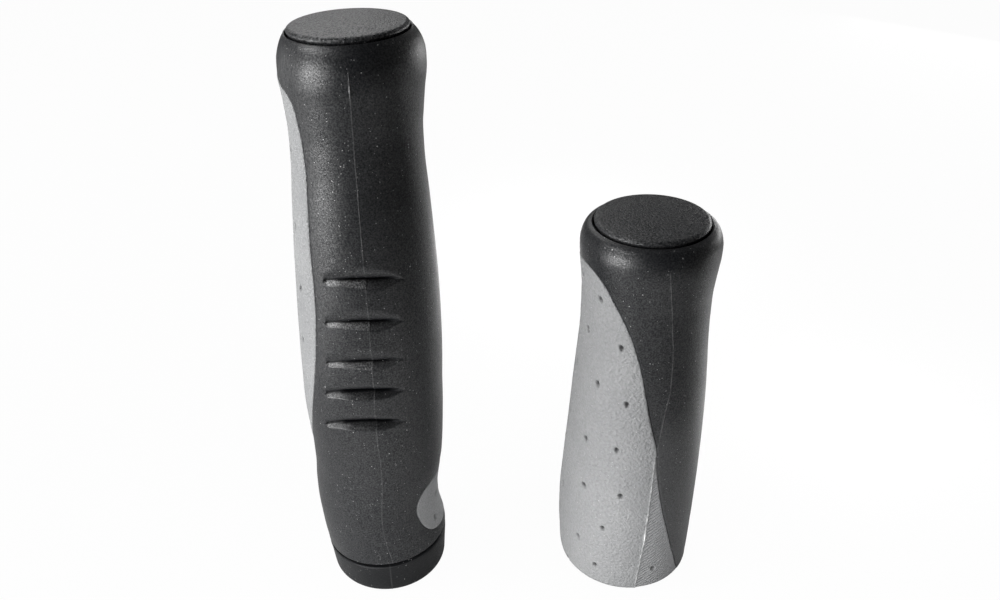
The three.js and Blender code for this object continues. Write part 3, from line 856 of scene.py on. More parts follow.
def fix_winding(v, faces):
    """Makes neighbouring faces agree, then turns the whole solid outwards."""
    import bmesh

    bm = bmesh.new()
    vs = [bm.verts.new(p) for p in v]
    bm.verts.index_update()
    for f in faces:
        try:
            bm.faces.new([vs[i] for i in f])
        except ValueError:
            pass
    bmesh.ops.recalc_face_normals(bm, faces=bm.faces[:])
    bm.verts.index_update()
    out = [tuple(x.index for x in f.verts) for f in bm.faces]
    vol = bm.calc_volume(signed=True)
    loose = sum(1 for e in bm.edges if len(e.link_faces) != 2)
    bm.free()
    print("solid: faces", len(out), "volume cm3", round(vol / 1000, 3), "open edges", loose)
    if vol < 0:
        out = [f[::-1] for f in out]
    return out


def build_panel(g, edge):
    """The grey palm panel: outer skin with pits and rounded edge, inner face on the sleeve."""
    gap = 0.03
    poly = edge if g.collar else np.vstack([edge, [edge[-1][0], -99], [edge[0][0], -99]])
    inward = 1 if polygon_area(poly) > 0 else -1
    rim = offset_line(edge, inward * gap, closed=g.collar)
    if not g.collar:
        rim[0, 1] = rim[-1, 1] = g.t0
    P = Points()
    loop = P.loop(rim, closed=g.collar)
    pins = []
    if not g.collar:
        n = int((rim[-1][0] - rim[0][0]) / 0.31)
        bu = np.linspace(rim[0][0], rim[-1][0], n + 1)[1:-1]
        bot = P.loop(np.column_stack([bu, np.full(len(bu), g.t0)]), closed=False)
        P.edges += [(loop[0], bot[0]), (bot[-1], loop[-1])]
        pins = bot
    region = rim
    for d in (0.05, 0.12, 0.22, 0.36, 0.6):
        row = offset_line(rim, inward * d, closed=g.collar)
        row = row[(row[:, 1] > g.t0 + 0.04)]
        row = row[inside(row, region)]
        P.line(row, 0.03 if d < 0.15 else 0.14)
    for cu, ct in [(p / g.deg, t) for p, t in g.dimples]:
        P.line([(cu, ct)], 0.05)
        for rr, k in ((0.14, 6), (0.28, 10), (0.42, 14), (0.55, 18), (0.68, 20), (0.82, 22), (1.0, 22), (1.25, 22)):
            an = np.linspace(0, 2 * math.pi, k, endpoint=False)
            pts = np.column_stack([cu + rr * 0.82 * np.cos(an), ct + rr * 1.1 * np.sin(an)])
            P.line(pts[inside(pts, region)], 0.06)
    for ln in ridge_rows(g, g.palm_parting, (0, -0.08, 0.08, -0.18, 0.18, -0.34, 0.34), 0.3):
        P.line(ln[inside(ln, region)], 0.06)
    if not g.collar:
        for t in np.linspace(g.t0, g.side0 + 0.4, 7)[1:]:
            row = np.column_stack([bu, np.full(len(bu), t)])
            P.line(row[inside(row, region)], 0.12)
    grid = hex_grid(rim[:, 0].min(), rim[:, 0].max(), g.t0 + 0.3, rim[:, 1].max(), 0.5)
    grid = grid[inside(grid, region)]
    P.scatter(grid, 0.27)
    xy, tri = triangulate(P, lambda c: inside(c, region))
    psi = g.psi(xy[:, 0])
    pos = g.skin(psi, xy[:, 1], PANEL_PROUD)
    nrm = g.normals(psi, xy[:, 1])
    d = np.zeros(len(xy))
    kd = kdtree.KDTree(len(rim))
    for i, p in enumerate(rim):
        kd.insert((p[0], p[1], 0), i)
    kd.balance()
    near = np.array([kd.find((p[0], p[1], 0))[2] for p in xy])
    r = 0.3
    q = np.clip(1 - near / r, 0, 1)
    d -= r * (1 - np.sqrt(np.maximum(1 - q * q, 0)))
    pit_shade = np.zeros(len(xy))
    line = np.zeros(len(xy))
    for cu, ct in [(p / g.deg, t) for p, t in g.dimples]:
        du, dt = xy[:, 0] - cu, xy[:, 1] - ct
        rho = np.hypot((du + 0.25 * dt) / 0.86, dt / 1.22)
        hole = np.exp(-(rho / 0.56) ** 3)
        d += -0.85 * hole + 0.07 * np.exp(-((rho - 0.85) / 0.2) ** 2) * np.clip(0.5 + 0.6 * (du - dt), 0, 1)
        # painted shade: a mask set a little off each dimple's centre, for darkening its inside
        pit_shade = np.maximum(pit_shade, np.exp(-(np.hypot(du + 0.25 * dt + 0.10, (dt - 0.10) / 1.25) / 0.44) ** 3))
    u, on = parting_distance(g, xy[:, 0], xy[:, 1], g.palm_parting)
    if g.collar:
        d += np.where(on, 0.06 * np.exp(-(u / 0.11) ** 2), 0)
    else:
        low = np.clip((44.5 - xy[:, 1]) / 3, 0, 1)
        d += low * 0.09 * np.exp(-(u / 0.12) ** 2)
        d += low * 0.10 * np.exp(-(u / 0.16) ** 2) * np.exp(-((xy[:, 1] - 18.5) / 1.6) ** 2)
        d += np.where(u > 0, -0.16 * low * (1 - np.exp(-np.abs(u) / 0.5)), 0)
        # a pale line along the lower parting ridge, brighter in ragged patches near 18.5 and 24.5 mm: the ridge is
        # raised in the geometry, the paleness is a painted highlight
        rough = np.clip(0.45 + 0.9 * fbm(pos, 0.7, 11), 0.1, 1.2)
        flash_glint = np.exp(-((xy[:, 1] - 18.5) / 1.9) ** 2) + 0.5 * np.exp(-((xy[:, 1] - 24.5) / 1.2) ** 2)
        line = low * rough * (0.42 * np.exp(-(u / 0.13) ** 2) + 1.0 * flash_glint * np.exp(-((u + 0.03) / 0.22) ** 2))
    grain = fbm(pos, 0.95, 5) + 0.5 * fbm(pos, 0.5, 6)
    streak = np.zeros(len(xy)) if g.collar else np.clip(u / 0.3, 0, 1) * low
    d += 0.02 * grain * (1 - 0.7 * streak) * np.clip(near / 0.5, 0.2, 1)
    d += 0.025 * fbm(pos, 8.0, 4)
    pos = pos + nrm * d[:, None]
    B = Builder()
    out_ids = B.add(pos)
    B.faces(out_ids[tri])
    # inner face on the sleeve
    Q = Points()
    lz, _ = g.height(rim[:, 1])
    inner_line = np.column_stack([rim[:, 0], lz])
    ql = Q.loop(inner_line, closed=g.collar)
    if not g.collar:
        qb = Q.loop(np.column_stack([bu, np.full(len(bu), g.bottom)]), closed=False)
        Q.edges += [(ql[0], qb[0]), (qb[-1], ql[-1])]
    grid = hex_grid(rim[:, 0].min(), rim[:, 0].max(), g.bottom + 1, rim[:, 1].max(), 2.4)
    grid = grid[inside(grid, inner_line)]
    Q.scatter(grid, 1.0)
    qxy, qtri = triangulate(Q, lambda c: inside(c, inner_line))
    in_ids = B.add(ring_points(g.psi(qxy[:, 0]), g.palm, RUBBER_IN_R, RUBBER_IN_R, qxy[:, 1]))
    B.faces(in_ids[qtri])
    B.strip(out_ids[loop], in_ids[ql], closed=g.collar)
    if not g.collar:
        B.strip(out_ids[[loop[0]] + bot + [loop[-1]]], in_ids[[ql[0]] + qb + [ql[-1]]], closed=False)
    v = B.points()
    faces = [f for f in B.f if len(set(f)) == len(f)]
    faces = fix_winding(v, faces)
    o_v, faces2 = compact(v, faces)
    o = make_object(g.name + "_panel_rubber", place(g, o_v), faces2)
    used = sorted({i for f in faces for i in f})
    paint(o, "streak", streak, used)
    paint(o, "pit_shade", pit_shade, used)
    paint(o, "line", line, used)
    return o


def turned(name, g, rows, columns=COLUMNS, smooth_angle=40, shape=None, line_at=None):
    """Solid of revolution about the grip's axis. rows: (a, b, z, cx); the first and last may lie on the axis."""
    B = Builder()
    psi = np.linspace(0, 360, columns, endpoint=False)
    prev, first, lines = None, None, []
    closed_profile = rows[0][0] > 1e-6 and rows[-1][0] > 1e-6
    for row in rows:
        a, b, z, cx = (list(row) + [0.0])[:4]
        if a < 1e-6:
            ids = B.add(np.array([[cx, 0.0, float(z) if np.isscalar(z) else float(np.mean(z))]]))
        else:
            pts = ring_points(psi, g.palm, a, b, z if np.isscalar(z) else z(psi), cx)
            # a column on the parting line stands out as a small ridge and is marked for a painted highlight
            if line_at and a > 13:
                k = int(round(line_at / 360 * columns))
                pts[k, :2] *= 1 + 0.07 / np.linalg.norm(pts[k, :2])
                lines.append(B.n + k)
            ids = B.add(pts)
        if prev is not None:
            if len(prev) == 1 and len(ids) > 1:
                B.f += [(prev[0], ids[i], ids[(i + 1) % columns]) for i in range(columns)]
            elif len(ids) == 1 and len(prev) > 1:
                B.f += [(prev[i], prev[(i + 1) % columns], ids[0]) for i in range(columns)]
            elif len(ids) > 1:
                B.strip(prev, ids)
        else:
            first = ids
        prev = ids
    if closed_profile:
        B.strip(prev, first)
    v = B.points()
    faces = fix_winding(v, B.f)
    used = sorted({i for f in faces for i in f})
    mark = np.zeros(len(v))
    mark[lines] = 1.0
    v, faces = compact(v, faces)
    o = make_object(name, place(g, v), faces, smooth_angle)
    paint(o, "line", mark, used)
    return o


def build_sleeve(g):
    """The rigid inner sleeve, with the collar on the long grip."""
    top = g.sleeve_top - 0.1
    rows = []
    if g.collar:
        c = float(g.cx(5.0))
        low_a, low_b = float(g.a(2.0)), float(g.b(2.0))
        rows += [(BORE_R + 0.35, BORE_R + 0.35, 0.0, 0), (12.6, 12.6, 0.0, 0)]
        r = 1.5
        for k in range(0, 91, 9):
            s, co = math.sin(math.radians(k)), math.cos(math.radians(k))
            rows.append((low_a - r + r * s - 0.05, low_b - r + r * s - 0.05, r * (1 - co), float(g.cx(0.5))))
        ztop = COLLAR_TOP - COLLAR_GROOVE / 2
        for z in np.linspace(r + 0.4, ztop - 0.45, 10):
            rows.append((float(g.a(z)), float(g.b(z)), float(z), float(g.cx(z))))
        a, b, cc = float(g.a(ztop)), float(g.b(ztop)), float(g.cx(ztop))
        tilt = lambda z0, k: (lambda psi: z0 + COLLAR_TILT * k * np.sin(np.radians(psi)))
        for k in (0, 20, 45, 70, 90):
            s, co = math.sin(math.radians(k)), math.cos(math.radians(k))
            rows.append((a - 0.35 + 0.35 * co, b - 0.35 + 0.35 * co, tilt(ztop - 0.35 + 0.35 * s, 0.95), cc))
        rows += [(12.9, 12.9, tilt(ztop, 0.9), 0), (12.25, 12.25, tilt(ztop + 0.1, 0.85), 0), (SLEEVE_R, SLEEVE_R, tilt(ztop + 0.5, 0.8), 0)]
    else:
        rows += [(BORE_R + 0.3, BORE_R + 0.3, 0.0, 0), (SLEEVE_R - 0.1, SLEEVE_R - 0.1, 0.0, 0), (SLEEVE_R, SLEEVE_R, 0.15, 0)]
    for z in np.linspace(12 if g.collar else 6, top - 0.3, 8):
        rows.append((SLEEVE_R, SLEEVE_R, float(z), 0))
    rows += [(SLEEVE_R - 0.2, SLEEVE_R - 0.2, top, 0), (LIP_R + 0.15, LIP_R + 0.15, top, 0), (LIP_R, LIP_R, top - 0.15, 0),
             (LIP_R, LIP_R, top - 1.35, 0), (LIP_R + 0.15, LIP_R + 0.15, top - 1.5, 0), (BORE_R - 0.05, BORE_R - 0.05, top - 1.5, 0),
             (BORE_R, BORE_R, top - 1.6, 0)]
    for z in np.linspace(top - 8, 6, 8):
        rows.append((BORE_R, BORE_R, float(z), 0))
    rows += [(BORE_R, BORE_R, 0.4, 0), (BORE_R + 0.12, BORE_R + 0.12, 0.12, 0)]
    return turned(g.name + "_sleeve", g, rows, line_at=172.6 if g.collar else None)


def build_plug(g, shape):
    """End plug: textured domed head on a hollow barbed stem."""
    seat = g.seat_floor + 0.2
    end = seat - 18
    crown = g.rim + 1.75
    rows = [(0, 0, seat - 0.8, 0), (7.7, 7.7, seat - 0.8, 0), (7.9, 7.9, seat - 1.0, 0), (7.9, 7.9, seat - 9, 0), (7.9, 7.9, end + 0.1, 0),
            (8.0, 8.0, end, 0), (8.75, 8.75, end, 0), (9.05, 9.05, end + 0.3, 0), (9.25, 9.25, end + 1.0, 0)]
    for z in (end + 3, end + 7.5, end + 12):
        rows += [(9.25, 9.25, z - 0.1, 0), (9.27, 9.27, z + 0.05, 0), (9.56, 9.56, z + 0.95, 0), (9.59, 9.59, z + 1.1, 0), (9.56, 9.56, z + 1.2, 0),
                 (9.27, 9.27, z + 1.55, 0), (9.25, 9.25, z + 1.7, 0)]
    hr, hs = g.head_r, g.head_shift
    rows += [(9.25, 9.25, seat - 0.15, 0), (9.4, 9.4, seat, 0), (hr - 0.15, hr - 0.15, seat, hs), (hr, hr, seat + 0.12, hs)]
    # side of the head, leaning in to a crisp shoulder, then the dome
    for inset, z in ((0.34, -1.1), (0.34, -0.5), (0.25, -0.15), (0.11, 0.12), (0.02, 0.32), (0.0, 0.42), (0.02, 0.55), (0.08, 0.69),
                     (0.17, 0.82), (0.28, 0.92), (0.41, 1.01), (0.55, 1.08), (0.70, 1.125), (0.90, 1.16)):
        rows.append((hr - inset, hr - inset, g.rim + z, hs))
    r1, z1 = rows[-1][0], rows[-1][2]
    for t in np.linspace(0, 1, 30)[1:-1]:
        rr = r1 * (1 - t)
        rows.append((rr, rr, z1 + (crown - z1) * (1 - (rr / r1) ** 2.0), hs))
    rows.append((0, 0, crown, hs))
    return turned(g.name + "_plug", g, rows, columns=256, smooth_angle=50, shape=shape)


# ------------------------------------------------------------------ materials
class Nodes:
    def __init__(self, name):
        self.mat = bpy.data.materials.new(name)
        self.mat.use_nodes = True
        self.t = self.mat.node_tree
        self.t.nodes.clear()
        self.out = self.new("ShaderNodeOutputMaterial")
        self.bsdf = self.new("ShaderNodeBsdfPrincipled")
        self.link(self.bsdf, "BSDF", self.out, "Surface")
        self.tc = self.new("ShaderNodeTexCoord")

    def new(self, kind, **props):
        n = self.t.nodes.new(kind)
        for k, v in props.items():
            setattr(n, k, v)
        return n

    def link(self, a, ao, b, bi):
        self.t.links.new(a.outputs[ao], b.inputs[bi])

    def noise(self, scale, detail=3.0, rough=0.5, distortion=0.0, coords=None):
        n = self.new("ShaderNodeTexNoise")
        n.inputs["Scale"].default_value = scale
        n.inputs["Detail"].default_value = detail
        n.inputs["Roughness"].default_value = rough
        n.inputs["Distortion"].default_value = distortion
        self.t.links.new((coords or self.tc.outputs["Object"]), n.inputs["Vector"])
        return n

    def voronoi(self, scale, feature="F1", coords=None, smooth=0.3, rand=1.0):
        n = self.new("ShaderNodeTexVoronoi")
        n.feature = feature
        n.inputs["Scale"].default_value = scale
        n.inputs["Randomness"].default_value = rand
        if feature == "SMOOTH_F1":
            n.inputs["Smoothness"].default_value = smooth
        self.t.links.new((coords or self.tc.outputs["Object"]), n.inputs["Vector"])
        return n

    def math(self, op, a, b=None, clamp=False):
        n = self.new("ShaderNodeMath", operation=op, use_clamp=clamp)
        for i, x in enumerate((a, b)):
            if x is None:
                continue
            if isinstance(x, (int, float)):
                n.inputs[i].default_value = x
            else:
                self.t.links.new(x, n.inputs[i])
        return n.outputs[0]

    def ramp(self, fac, stops):
        n = self.new("ShaderNodeValToRGB")
        e = n.color_ramp.elements
        while len(e) < len(stops):
            e.new(0.5)
        for el, (p, c) in zip(e, stops):
            el.position = p
            el.color = (c, c, c, 1) if isinstance(c, (int, float)) else (*c, 1)
        self.t.links.new(fac, n.inputs["Fac"])
        return n.outputs["Color"]

    def map(self, value, a, b, c, d):
        n = self.new("ShaderNodeMapRange")
        n.inputs["From Min"].default_value = a
        n.inputs["From Max"].default_value = b
        n.inputs["To Min"].default_value = c
        n.inputs["To Max"].default_value = d
        self.t.links.new(value, n.inputs["Value"])
        return n.outputs["Result"]

    def mix(self, fac, a, b, blend="MIX"):
        n = self.new("ShaderNodeMix", data_type="RGBA", blend_type=blend)
        ins = [i for i in n.inputs if i.enabled]
        for i, x in zip(ins, (fac, a, b)):
            if isinstance(x, (int, float)):
                i.default_value = x if i.type == "VALUE" else (x, x, x, 1)
            elif isinstance(x, tuple):
                i.default_value = (*x, 1)
            else:
                self.t.links.new(x, i)
        return [o for o in n.outputs if o.enabled][0]

    def bump(self, height, distance, strength=1.0, normal=None):
        n = self.new("ShaderNodeBump")
        n.inputs["Strength"].default_value = strength
        n.inputs["Distance"].default_value = distance
        self.t.links.new(height, n.inputs["Height"])
        if normal is not None:
            self.t.links.new(normal, n.inputs["Normal"])
        return n.outputs["Normal"]

    def set(self, name, x):
        s = self.bsdf.inputs[name]
        if isinstance(x, (int, float)):
            s.default_value = x
        elif isinstance(x, tuple):
            s.default_value = (*x, 1) if len(x) == 3 else x
        else:
            self.t.links.new(x, s)


def dust(m, base, density, amount, tone=0.5):
    """Tiny pale specks in drifts over a base colour."""
    drift = m.noise(150, 2, 0.5).outputs["Fac"]
    total = None
    for scale, radius, share in ((1700, 0.19, 0.62), (800, 0.10, 0.86)):
        cells = m.voronoi(scale)
        rnd = m.new("ShaderNodeSeparateColor")
        m.t.links.new(cells.outputs["Color"], rnd.inputs["Color"])
        here = m.map(drift, 0.35, 0.75, share + 0.5 * (1 - share), share - density * 0.4)
        pick = m.math("GREATER_THAN", rnd.outputs["Red"], here)
        size = m.math("MULTIPLY", rnd.outputs["Green"], radius)
        dot = m.math("MULTIPLY", m.math("LESS_THAN", cells.outputs["Distance"], size), pick)
        dot = m.math("MULTIPLY", dot, m.map(rnd.outputs["Blue"], 0, 1, 0.35, 1.0))
        total = dot if total is None else m.math("MAXIMUM", total, dot)
    return m.mix(m.math("MULTIPLY", total, amount), base, (tone, tone, tone))


def black_rubber(name="black_rubber"):
    m = Nodes(name)
    big = m.noise(90, 3, 0.6)
    fine = m.noise(2900, 2, 0.6)
    grain = m.noise(4600, 2, 0.7)
    base = m.mix(m.map(big.outputs["Fac"], 0.35, 0.65, 0, 1), (0.0048, 0.0054, 0.0066), (0.0075, 0.0080, 0.0092))
    base = m.mix(m.map(fine.outputs["Fac"], 0.46, 0.70, 0, 0.5), base, (0.013, 0.0135, 0.0145))
    line = m.new("ShaderNodeAttribute", attribute_name="line").outputs["Fac"]
    broken = m.map(m.noise(700, 2, 0.6).outputs["Fac"], 0.38, 0.62, 0.25, 1.0)
    lit_facet = m.new("ShaderNodeAttribute", attribute_name="lit_facet").outputs["Fac"]
    # painted light: paler black beside the lower parting line, standing for its different facing
    base = m.mix(m.math("MULTIPLY", lit_facet, 0.8, True), base, (0.036, 0.0365, 0.038))
    ledge_highlight = m.new("ShaderNodeAttribute", attribute_name="ledge_highlight").outputs["Fac"]
    shade = m.new("ShaderNodeAttribute", attribute_name="shade").outputs["Fac"]
    # painted highlight: a pale line along the parting ridges, broken up by noise and weakened on the ledges and in the
    # creases
    outside = m.math("SUBTRACT", 1.0, m.math("MAXIMUM", m.math("MULTIPLY", ledge_highlight, 3.0, True), shade), True)
    line = m.math("MULTIPLY", m.math("MULTIPLY", line, broken), m.map(outside, 0, 1, 0.3, 1.0))
    base = m.mix(m.math("MULTIPLY", line, 0.16, True), base, (0.30, 0.30, 0.30))
    # painted shade: the grooves' creases are darkened almost to black
    base = m.mix(m.math("MULTIPLY", shade, 0.85, True), base, (0.0014, 0.0015, 0.0017))
    # painted highlight: the ledges are mixed towards mid grey, broken up by fine noise
    ledge_glint_grain = m.map(m.noise(3200, 2, 0.6).outputs["Fac"], 0.42, 0.66, 0.12, 1.0)
    base = m.mix(m.math("MULTIPLY", m.math("MULTIPLY", ledge_highlight, ledge_glint_grain), 0.50, True), base, (0.50, 0.50, 0.50))
    base = dust(m, base, 0.55, 0.8)
    m.set("Base Color", base)
    m.set("Roughness", m.map(grain.outputs["Fac"], 0.3, 0.7, 0.33, 0.47))
    # the painted shade also takes the specular away in the creases
    open_part = m.math("SUBTRACT", 1.0, m.math("MULTIPLY", shade, 1.0, True))
    m.set("Specular IOR Level", m.math("MULTIPLY", m.map(fine.outputs["Fac"], 0.34, 0.66, 0.22, 0.66), open_part))
    h = m.math("ADD", m.math("MULTIPLY", fine.outputs["Fac"], 0.7), m.math("MULTIPLY", grain.outputs["Fac"], 0.45))
    m.set("Normal", m.bump(h, 0.00011, 0.7))
    return m.mat


def grey_rubber(name="grey_rubber"):
    m = Nodes(name)
    pebble = m.voronoi(1750, "SMOOTH_F1", smooth=0.7)
    warp = m.noise(1500, 2, 0.55)
    fine = m.noise(4200, 2, 0.6)
    big = m.noise(70, 2, 0.5)
    mid = m.noise(1700, 2, 0.55)
    streak = m.new("ShaderNodeAttribute", attribute_name="streak").outputs["Fac"]
    pit_shade = m.new("ShaderNodeAttribute", attribute_name="pit_shade").outputs["Fac"]
    # fine slanted lines on the strip beside the parting line
    wave_map = m.new("ShaderNodeMapping")
    wave_map.inputs["Rotation"].default_value = (0.0, 0.55, 0.2)
    m.t.links.new(m.tc.outputs["Object"], wave_map.inputs["Vector"])
    wave = m.new("ShaderNodeTexWave", bands_direction="Z")
    wave.inputs["Scale"].default_value = 380
    wave.inputs["Distortion"].default_value = 3.0
    wave.inputs["Detail"].default_value = 2
    wave.inputs["Detail Scale"].default_value = 2.5
    m.t.links.new(wave_map.outputs["Vector"], wave.inputs["Vector"])
    base = m.mix(m.map(big.outputs["Fac"], 0.35, 0.65, 0, 1), (0.211, 0.214, 0.217), (0.236, 0.239, 0.241))
    base = m.mix(m.math("MULTIPLY", m.map(mid.outputs["Fac"], 0.38, 0.62, 0, 1), 0.50), base, (0.158, 0.160, 0.163))
    base = dust(m, base, 0.25, 0.6, 0.7)
    base = m.mix(m.math("MULTIPLY", streak, 0.35), base, (0.23, 0.232, 0.237))
    line = m.new("ShaderNodeAttribute", attribute_name="line").outputs["Fac"]
    # painted highlight: near-white along the parting ridge
    base = m.mix(m.math("MULTIPLY", line, 0.8, True), base, (0.85, 0.85, 0.85))
    # painted shade: the insides of the dimples are darkened almost to black
    base = m.mix(m.math("MULTIPLY", pit_shade, 0.85), base, (0.035, 0.035, 0.035))
    m.set("Base Color", base)
    m.set("Roughness", m.map(fine.outputs["Fac"], 0.3, 0.7, 0.55, 0.70))
    m.set("Specular IOR Level", 0.4)
    soft = m.math("ADD", m.math("MULTIPLY", pebble.outputs["Distance"], 0.5), m.math("MULTIPLY", warp.outputs["Fac"], 0.9))
    keep = m.math("SUBTRACT", 1.0, m.math("MULTIPLY", streak, 0.35))
    h = m.math("MULTIPLY", soft, keep)
    h = m.math("ADD", h, m.math("MULTIPLY", m.math("MULTIPLY", wave.outputs["Fac"], streak), 0.55))
    h = m.math("ADD", h, m.math("MULTIPLY", fine.outputs["Fac"], 0.12))
    m.set("Normal", m.bump(h, 0.00036, 0.85))
    return m.mat


def plug_plastic(name="plug_plastic"):
    m = Nodes(name)
    a = m.noise(2100, 2, 0.65)
    b = m.noise(4600, 2, 0.6)
    big = m.noise(150, 2, 0.5)
    base = m.mix(m.map(a.outputs["Fac"], 0.38, 0.66, 0, 1), (0.006, 0.0065, 0.0075), (0.026, 0.0265, 0.028))
    base = m.mix(m.map(big.outputs["Fac"], 0.4, 0.7, 0, 0.25), base, (0.030, 0.031, 0.032))
    base = dust(m, base, 0.2, 0.6)
    m.set("Base Color", base)
    m.set("Roughness", m.map(b.outputs["Fac"], 0.3, 0.7, 0.30, 0.44))
    m.set("Specular IOR Level", m.map(a.outputs["Fac"], 0.34, 0.66, 0.12, 0.75))
    h = m.math("ADD", m.math("MULTIPLY", a.outputs["Fac"], 0.8), m.math("MULTIPLY", b.outputs["Fac"], 0.35))
    m.set("Normal", m.bump(h, 0.00026, 0.9))
    return m.mat


def sleeve_plastic(name="sleeve_plastic"):
    m = Nodes(name)
    a = m.noise(2600, 2, 0.6)
    big = m.noise(100, 3, 0.55)
    base = m.mix(m.map(big.outputs["Fac"], 0.35, 0.65, 0, 1), (0.0052, 0.0056, 0.0064), (0.0078, 0.0082, 0.0090))
    line = m.new("ShaderNodeAttribute", attribute_name="line").outputs["Fac"]
    # painted highlight: a pale line along the collar's parting ridge
    base = m.mix(m.math("MULTIPLY", line, 0.06, True), base, (0.30, 0.30, 0.30))
    base = dust(m, base, 0.2, 0.7)
    m.set("Base Color", base)
    m.set("Roughness", m.map(a.outputs["Fac"], 0.3, 0.7, 0.40, 0.52))
    m.set("Specular IOR Level", 0.22)
    m.set("Normal", m.bump(a.outputs["Fac"], 0.00012, 0.6))
    return m.mat


# ------------------------------------------------------------------ build
mat_black, mat_grey, mat_plug, mat_sleeve = black_rubber(), grey_rubber(), plug_plastic(), sleeve_plastic()
for spec in (LONG, SHORT):
    g = Grip(spec)
    n = g.name
    body, edge = build_black(g)
    body.data.materials.append(mat_black)
    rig.ride(body, n + "_grip")
    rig.replaces(body, n + "_black_body")
    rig.slot(body, "black_rubber")
    panel = build_panel(g, edge)
    panel.data.materials.append(mat_grey)
    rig.ride(panel, n + "_grip")
    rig.replaces(panel, n + "_grey_panel")
    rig.slot(panel, "grey_rubber")
    sleeve = build_sleeve(g)
    sleeve.data.materials.append(mat_sleeve)
    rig.ride(sleeve, n + "_grip")
    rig.replaces(sleeve, n + "_core_sleeve")
    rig.slot(sleeve, "sleeve")
    plug = build_plug(g, None)
    plug.data.materials.append(mat_plug)
    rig.ride(plug, n + "_plug")
    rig.replaces(plug, n + "_end_plug")
    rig.slot(plug, "plug")

# ------------------------------------------------------------------ floor, light, camera
scene = bpy.context.scene
scene.view_settings.view_transform = "Standard"
WORLD_FRONT, WORLD_BACK, WORLD_LEFT, WORLD_RIGHT = 0.04, 0.20, 0.09, 0.14

floor_mesh = bpy.data.meshes.new("floor")
s = 3.0
floor_mesh.from_pydata([(-s, -s, 0), (s, -s, 0), (s, s, 0), (-s, s, 0)], [], [(0, 1, 2, 3)])
floor = bpy.data.objects.new("floor", floor_mesh)
scene.collection.objects.link(floor)
fm = Nodes("floor_white")
fm.set("Base Color", (0.45, 0.45, 0.45))
fm.set("Roughness", 0.7)
glow = fm.new("ShaderNodeEmission")
glow.inputs["Strength"].default_value = 1.0
path = fm.new("ShaderNodeLightPath")
blend = fm.new("ShaderNodeMixShader")
fm.t.links.new(fm.math("MULTIPLY", path.outputs["Is Camera Ray"], 0.97), blend.inputs["Fac"])
fm.t.links.new(fm.bsdf.outputs["BSDF"], blend.inputs[1])
fm.t.links.new(glow.outputs["Emission"], blend.inputs[2])
fm.t.links.new(blend.outputs["Shader"], fm.out.inputs["Surface"])
floor_mesh.materials.append(fm.mat)
floor.location.z = -0.00002
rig.stage(floor)

# studio: white behind, darker in front, a little light from both sides
world = bpy.data.worlds.new("studio")
scene.world = world
world.use_nodes = True
wt = world.node_tree
bg = wt.nodes["Background"]
wtc = wt.nodes.new("ShaderNodeTexCoord")
wsep = wt.nodes.new("ShaderNodeSeparateXYZ")
wt.links.new(wtc.outputs["Generated"], wsep.inputs["Vector"])


def world_ramp(socket, a, b, c, d):
    n = wt.nodes.new("ShaderNodeMapRange")
    n.interpolation_type = "SMOOTHSTEP"
    for k, v in zip(("From Min", "From Max", "To Min", "To Max"), (a, b, c, d)):
        n.inputs[k].default_value = v
    wt.links.new(wsep.outputs[socket], n.inputs["Value"])
    return n.outputs["Result"]


def world_add(a, b):
    n = wt.nodes.new("ShaderNodeMath")
    n.operation = "ADD"
    wt.links.new(a, n.inputs[0])
    wt.links.new(b, n.inputs[1])
    return n.outputs[0]


level = world_add(world_ramp("Y", -0.1, 0.8, WORLD_FRONT, WORLD_BACK), world_ramp("X", -0.9, -0.3, WORLD_LEFT, 0.0))
level = world_add(level, world_ramp("X", 0.4, 0.95, 0.0, WORLD_RIGHT))
wt.links.new(level, bg.inputs["Strength"])
bg.inputs["Color"].default_value = (1.0, 1.0, 1.0, 1)


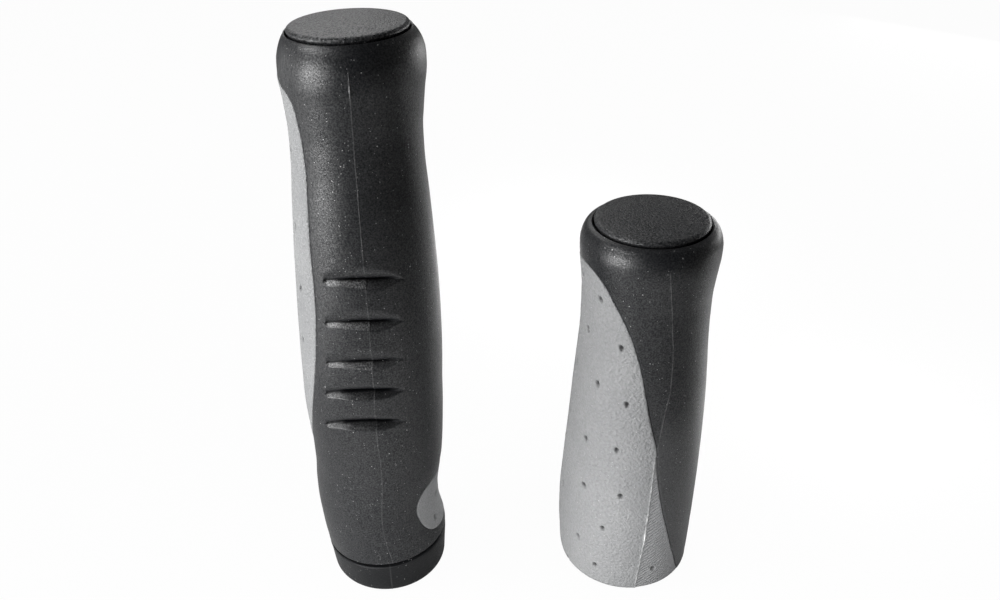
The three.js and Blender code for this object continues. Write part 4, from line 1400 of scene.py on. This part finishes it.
def area(name, loc, target, size, power):
    light = bpy.data.lights.new(name, "AREA")
    light.shape = "RECTANGLE"
    light.size, light.size_y = size
    light.energy = power
    o = bpy.data.objects.new(name, light)
    o.location = loc
    o.rotation_euler = (Vector(target) - Vector(loc)).to_track_quat("-Z", "Y").to_euler()
    o.visible_camera = False
    scene.collection.objects.link(o)
    return o


mid = Vector((0, 0, 0.06))
area("key", (-0.54, -0.34, 0.12), mid, (0.24, 0.20), 5.1)
area("high", (-0.50, -0.10, 0.60), mid, (0.13, 0.13), 3.0)
area("left", (-0.50, 0.16, 0.10), mid, (0.25, 0.20), 0.3)
area("low left", (-0.18, -0.03, 0.03), (-0.035, -0.01, 0.115), (0.08, 0.08), 0.02)
area("right", (0.40, 0.45, 0.08), mid, (0.35, 0.15), 0.8)
area("card", (0.20, 0.05, 0.03), (0.03, 0.0, 0.03), (0.06, 0.03), 0.02)
area("pool right", (0.11, 0.055, 0.05), (0.11, 0.055, 0.0), (0.03, 0.03), 0.085)
area("pool front", (0.05, -0.10, 0.05), (0.05, -0.10, 0.0), (0.05, 0.05), 0.08)
area("pool left", (-0.05, -0.085, 0.045), (-0.05, -0.085, 0.0), (0.04, 0.04), 0.07)
area("pool back", (0.03, 0.17, 0.05), (0.03, 0.17, 0.0), (0.04, 0.08), 0.22)
area("front", (0.0, -0.065, 0.08), (0.0, -0.06, 0.0), (0.14, 0.02), 0.03)
area("backdrop", (-0.20, 0.58, 0.53), mid, (0.35, 0.4), 1.35)

cam_data = bpy.data.cameras.new("camera")
cam = bpy.data.objects.new("camera", cam_data)
cam_data.sensor_width = 36.0
cam_data.lens = 943.9 / 1000 * 36.0
cam_data.clip_start, cam_data.clip_end = 0.01, 20
cam.location = (-0.001743, -0.182161, 0.1814)
cam.rotation_euler = (math.radians(90 - 30.39), 0, 0)
scene.collection.objects.link(cam)
scene.camera = cam

now_lo, now_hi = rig.bounds()
with open("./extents.json", "w") as f:
    json.dump({"cad": [list(cad_lo), list(cad_hi)], "visual": [list(now_lo), list(now_hi)]}, f)
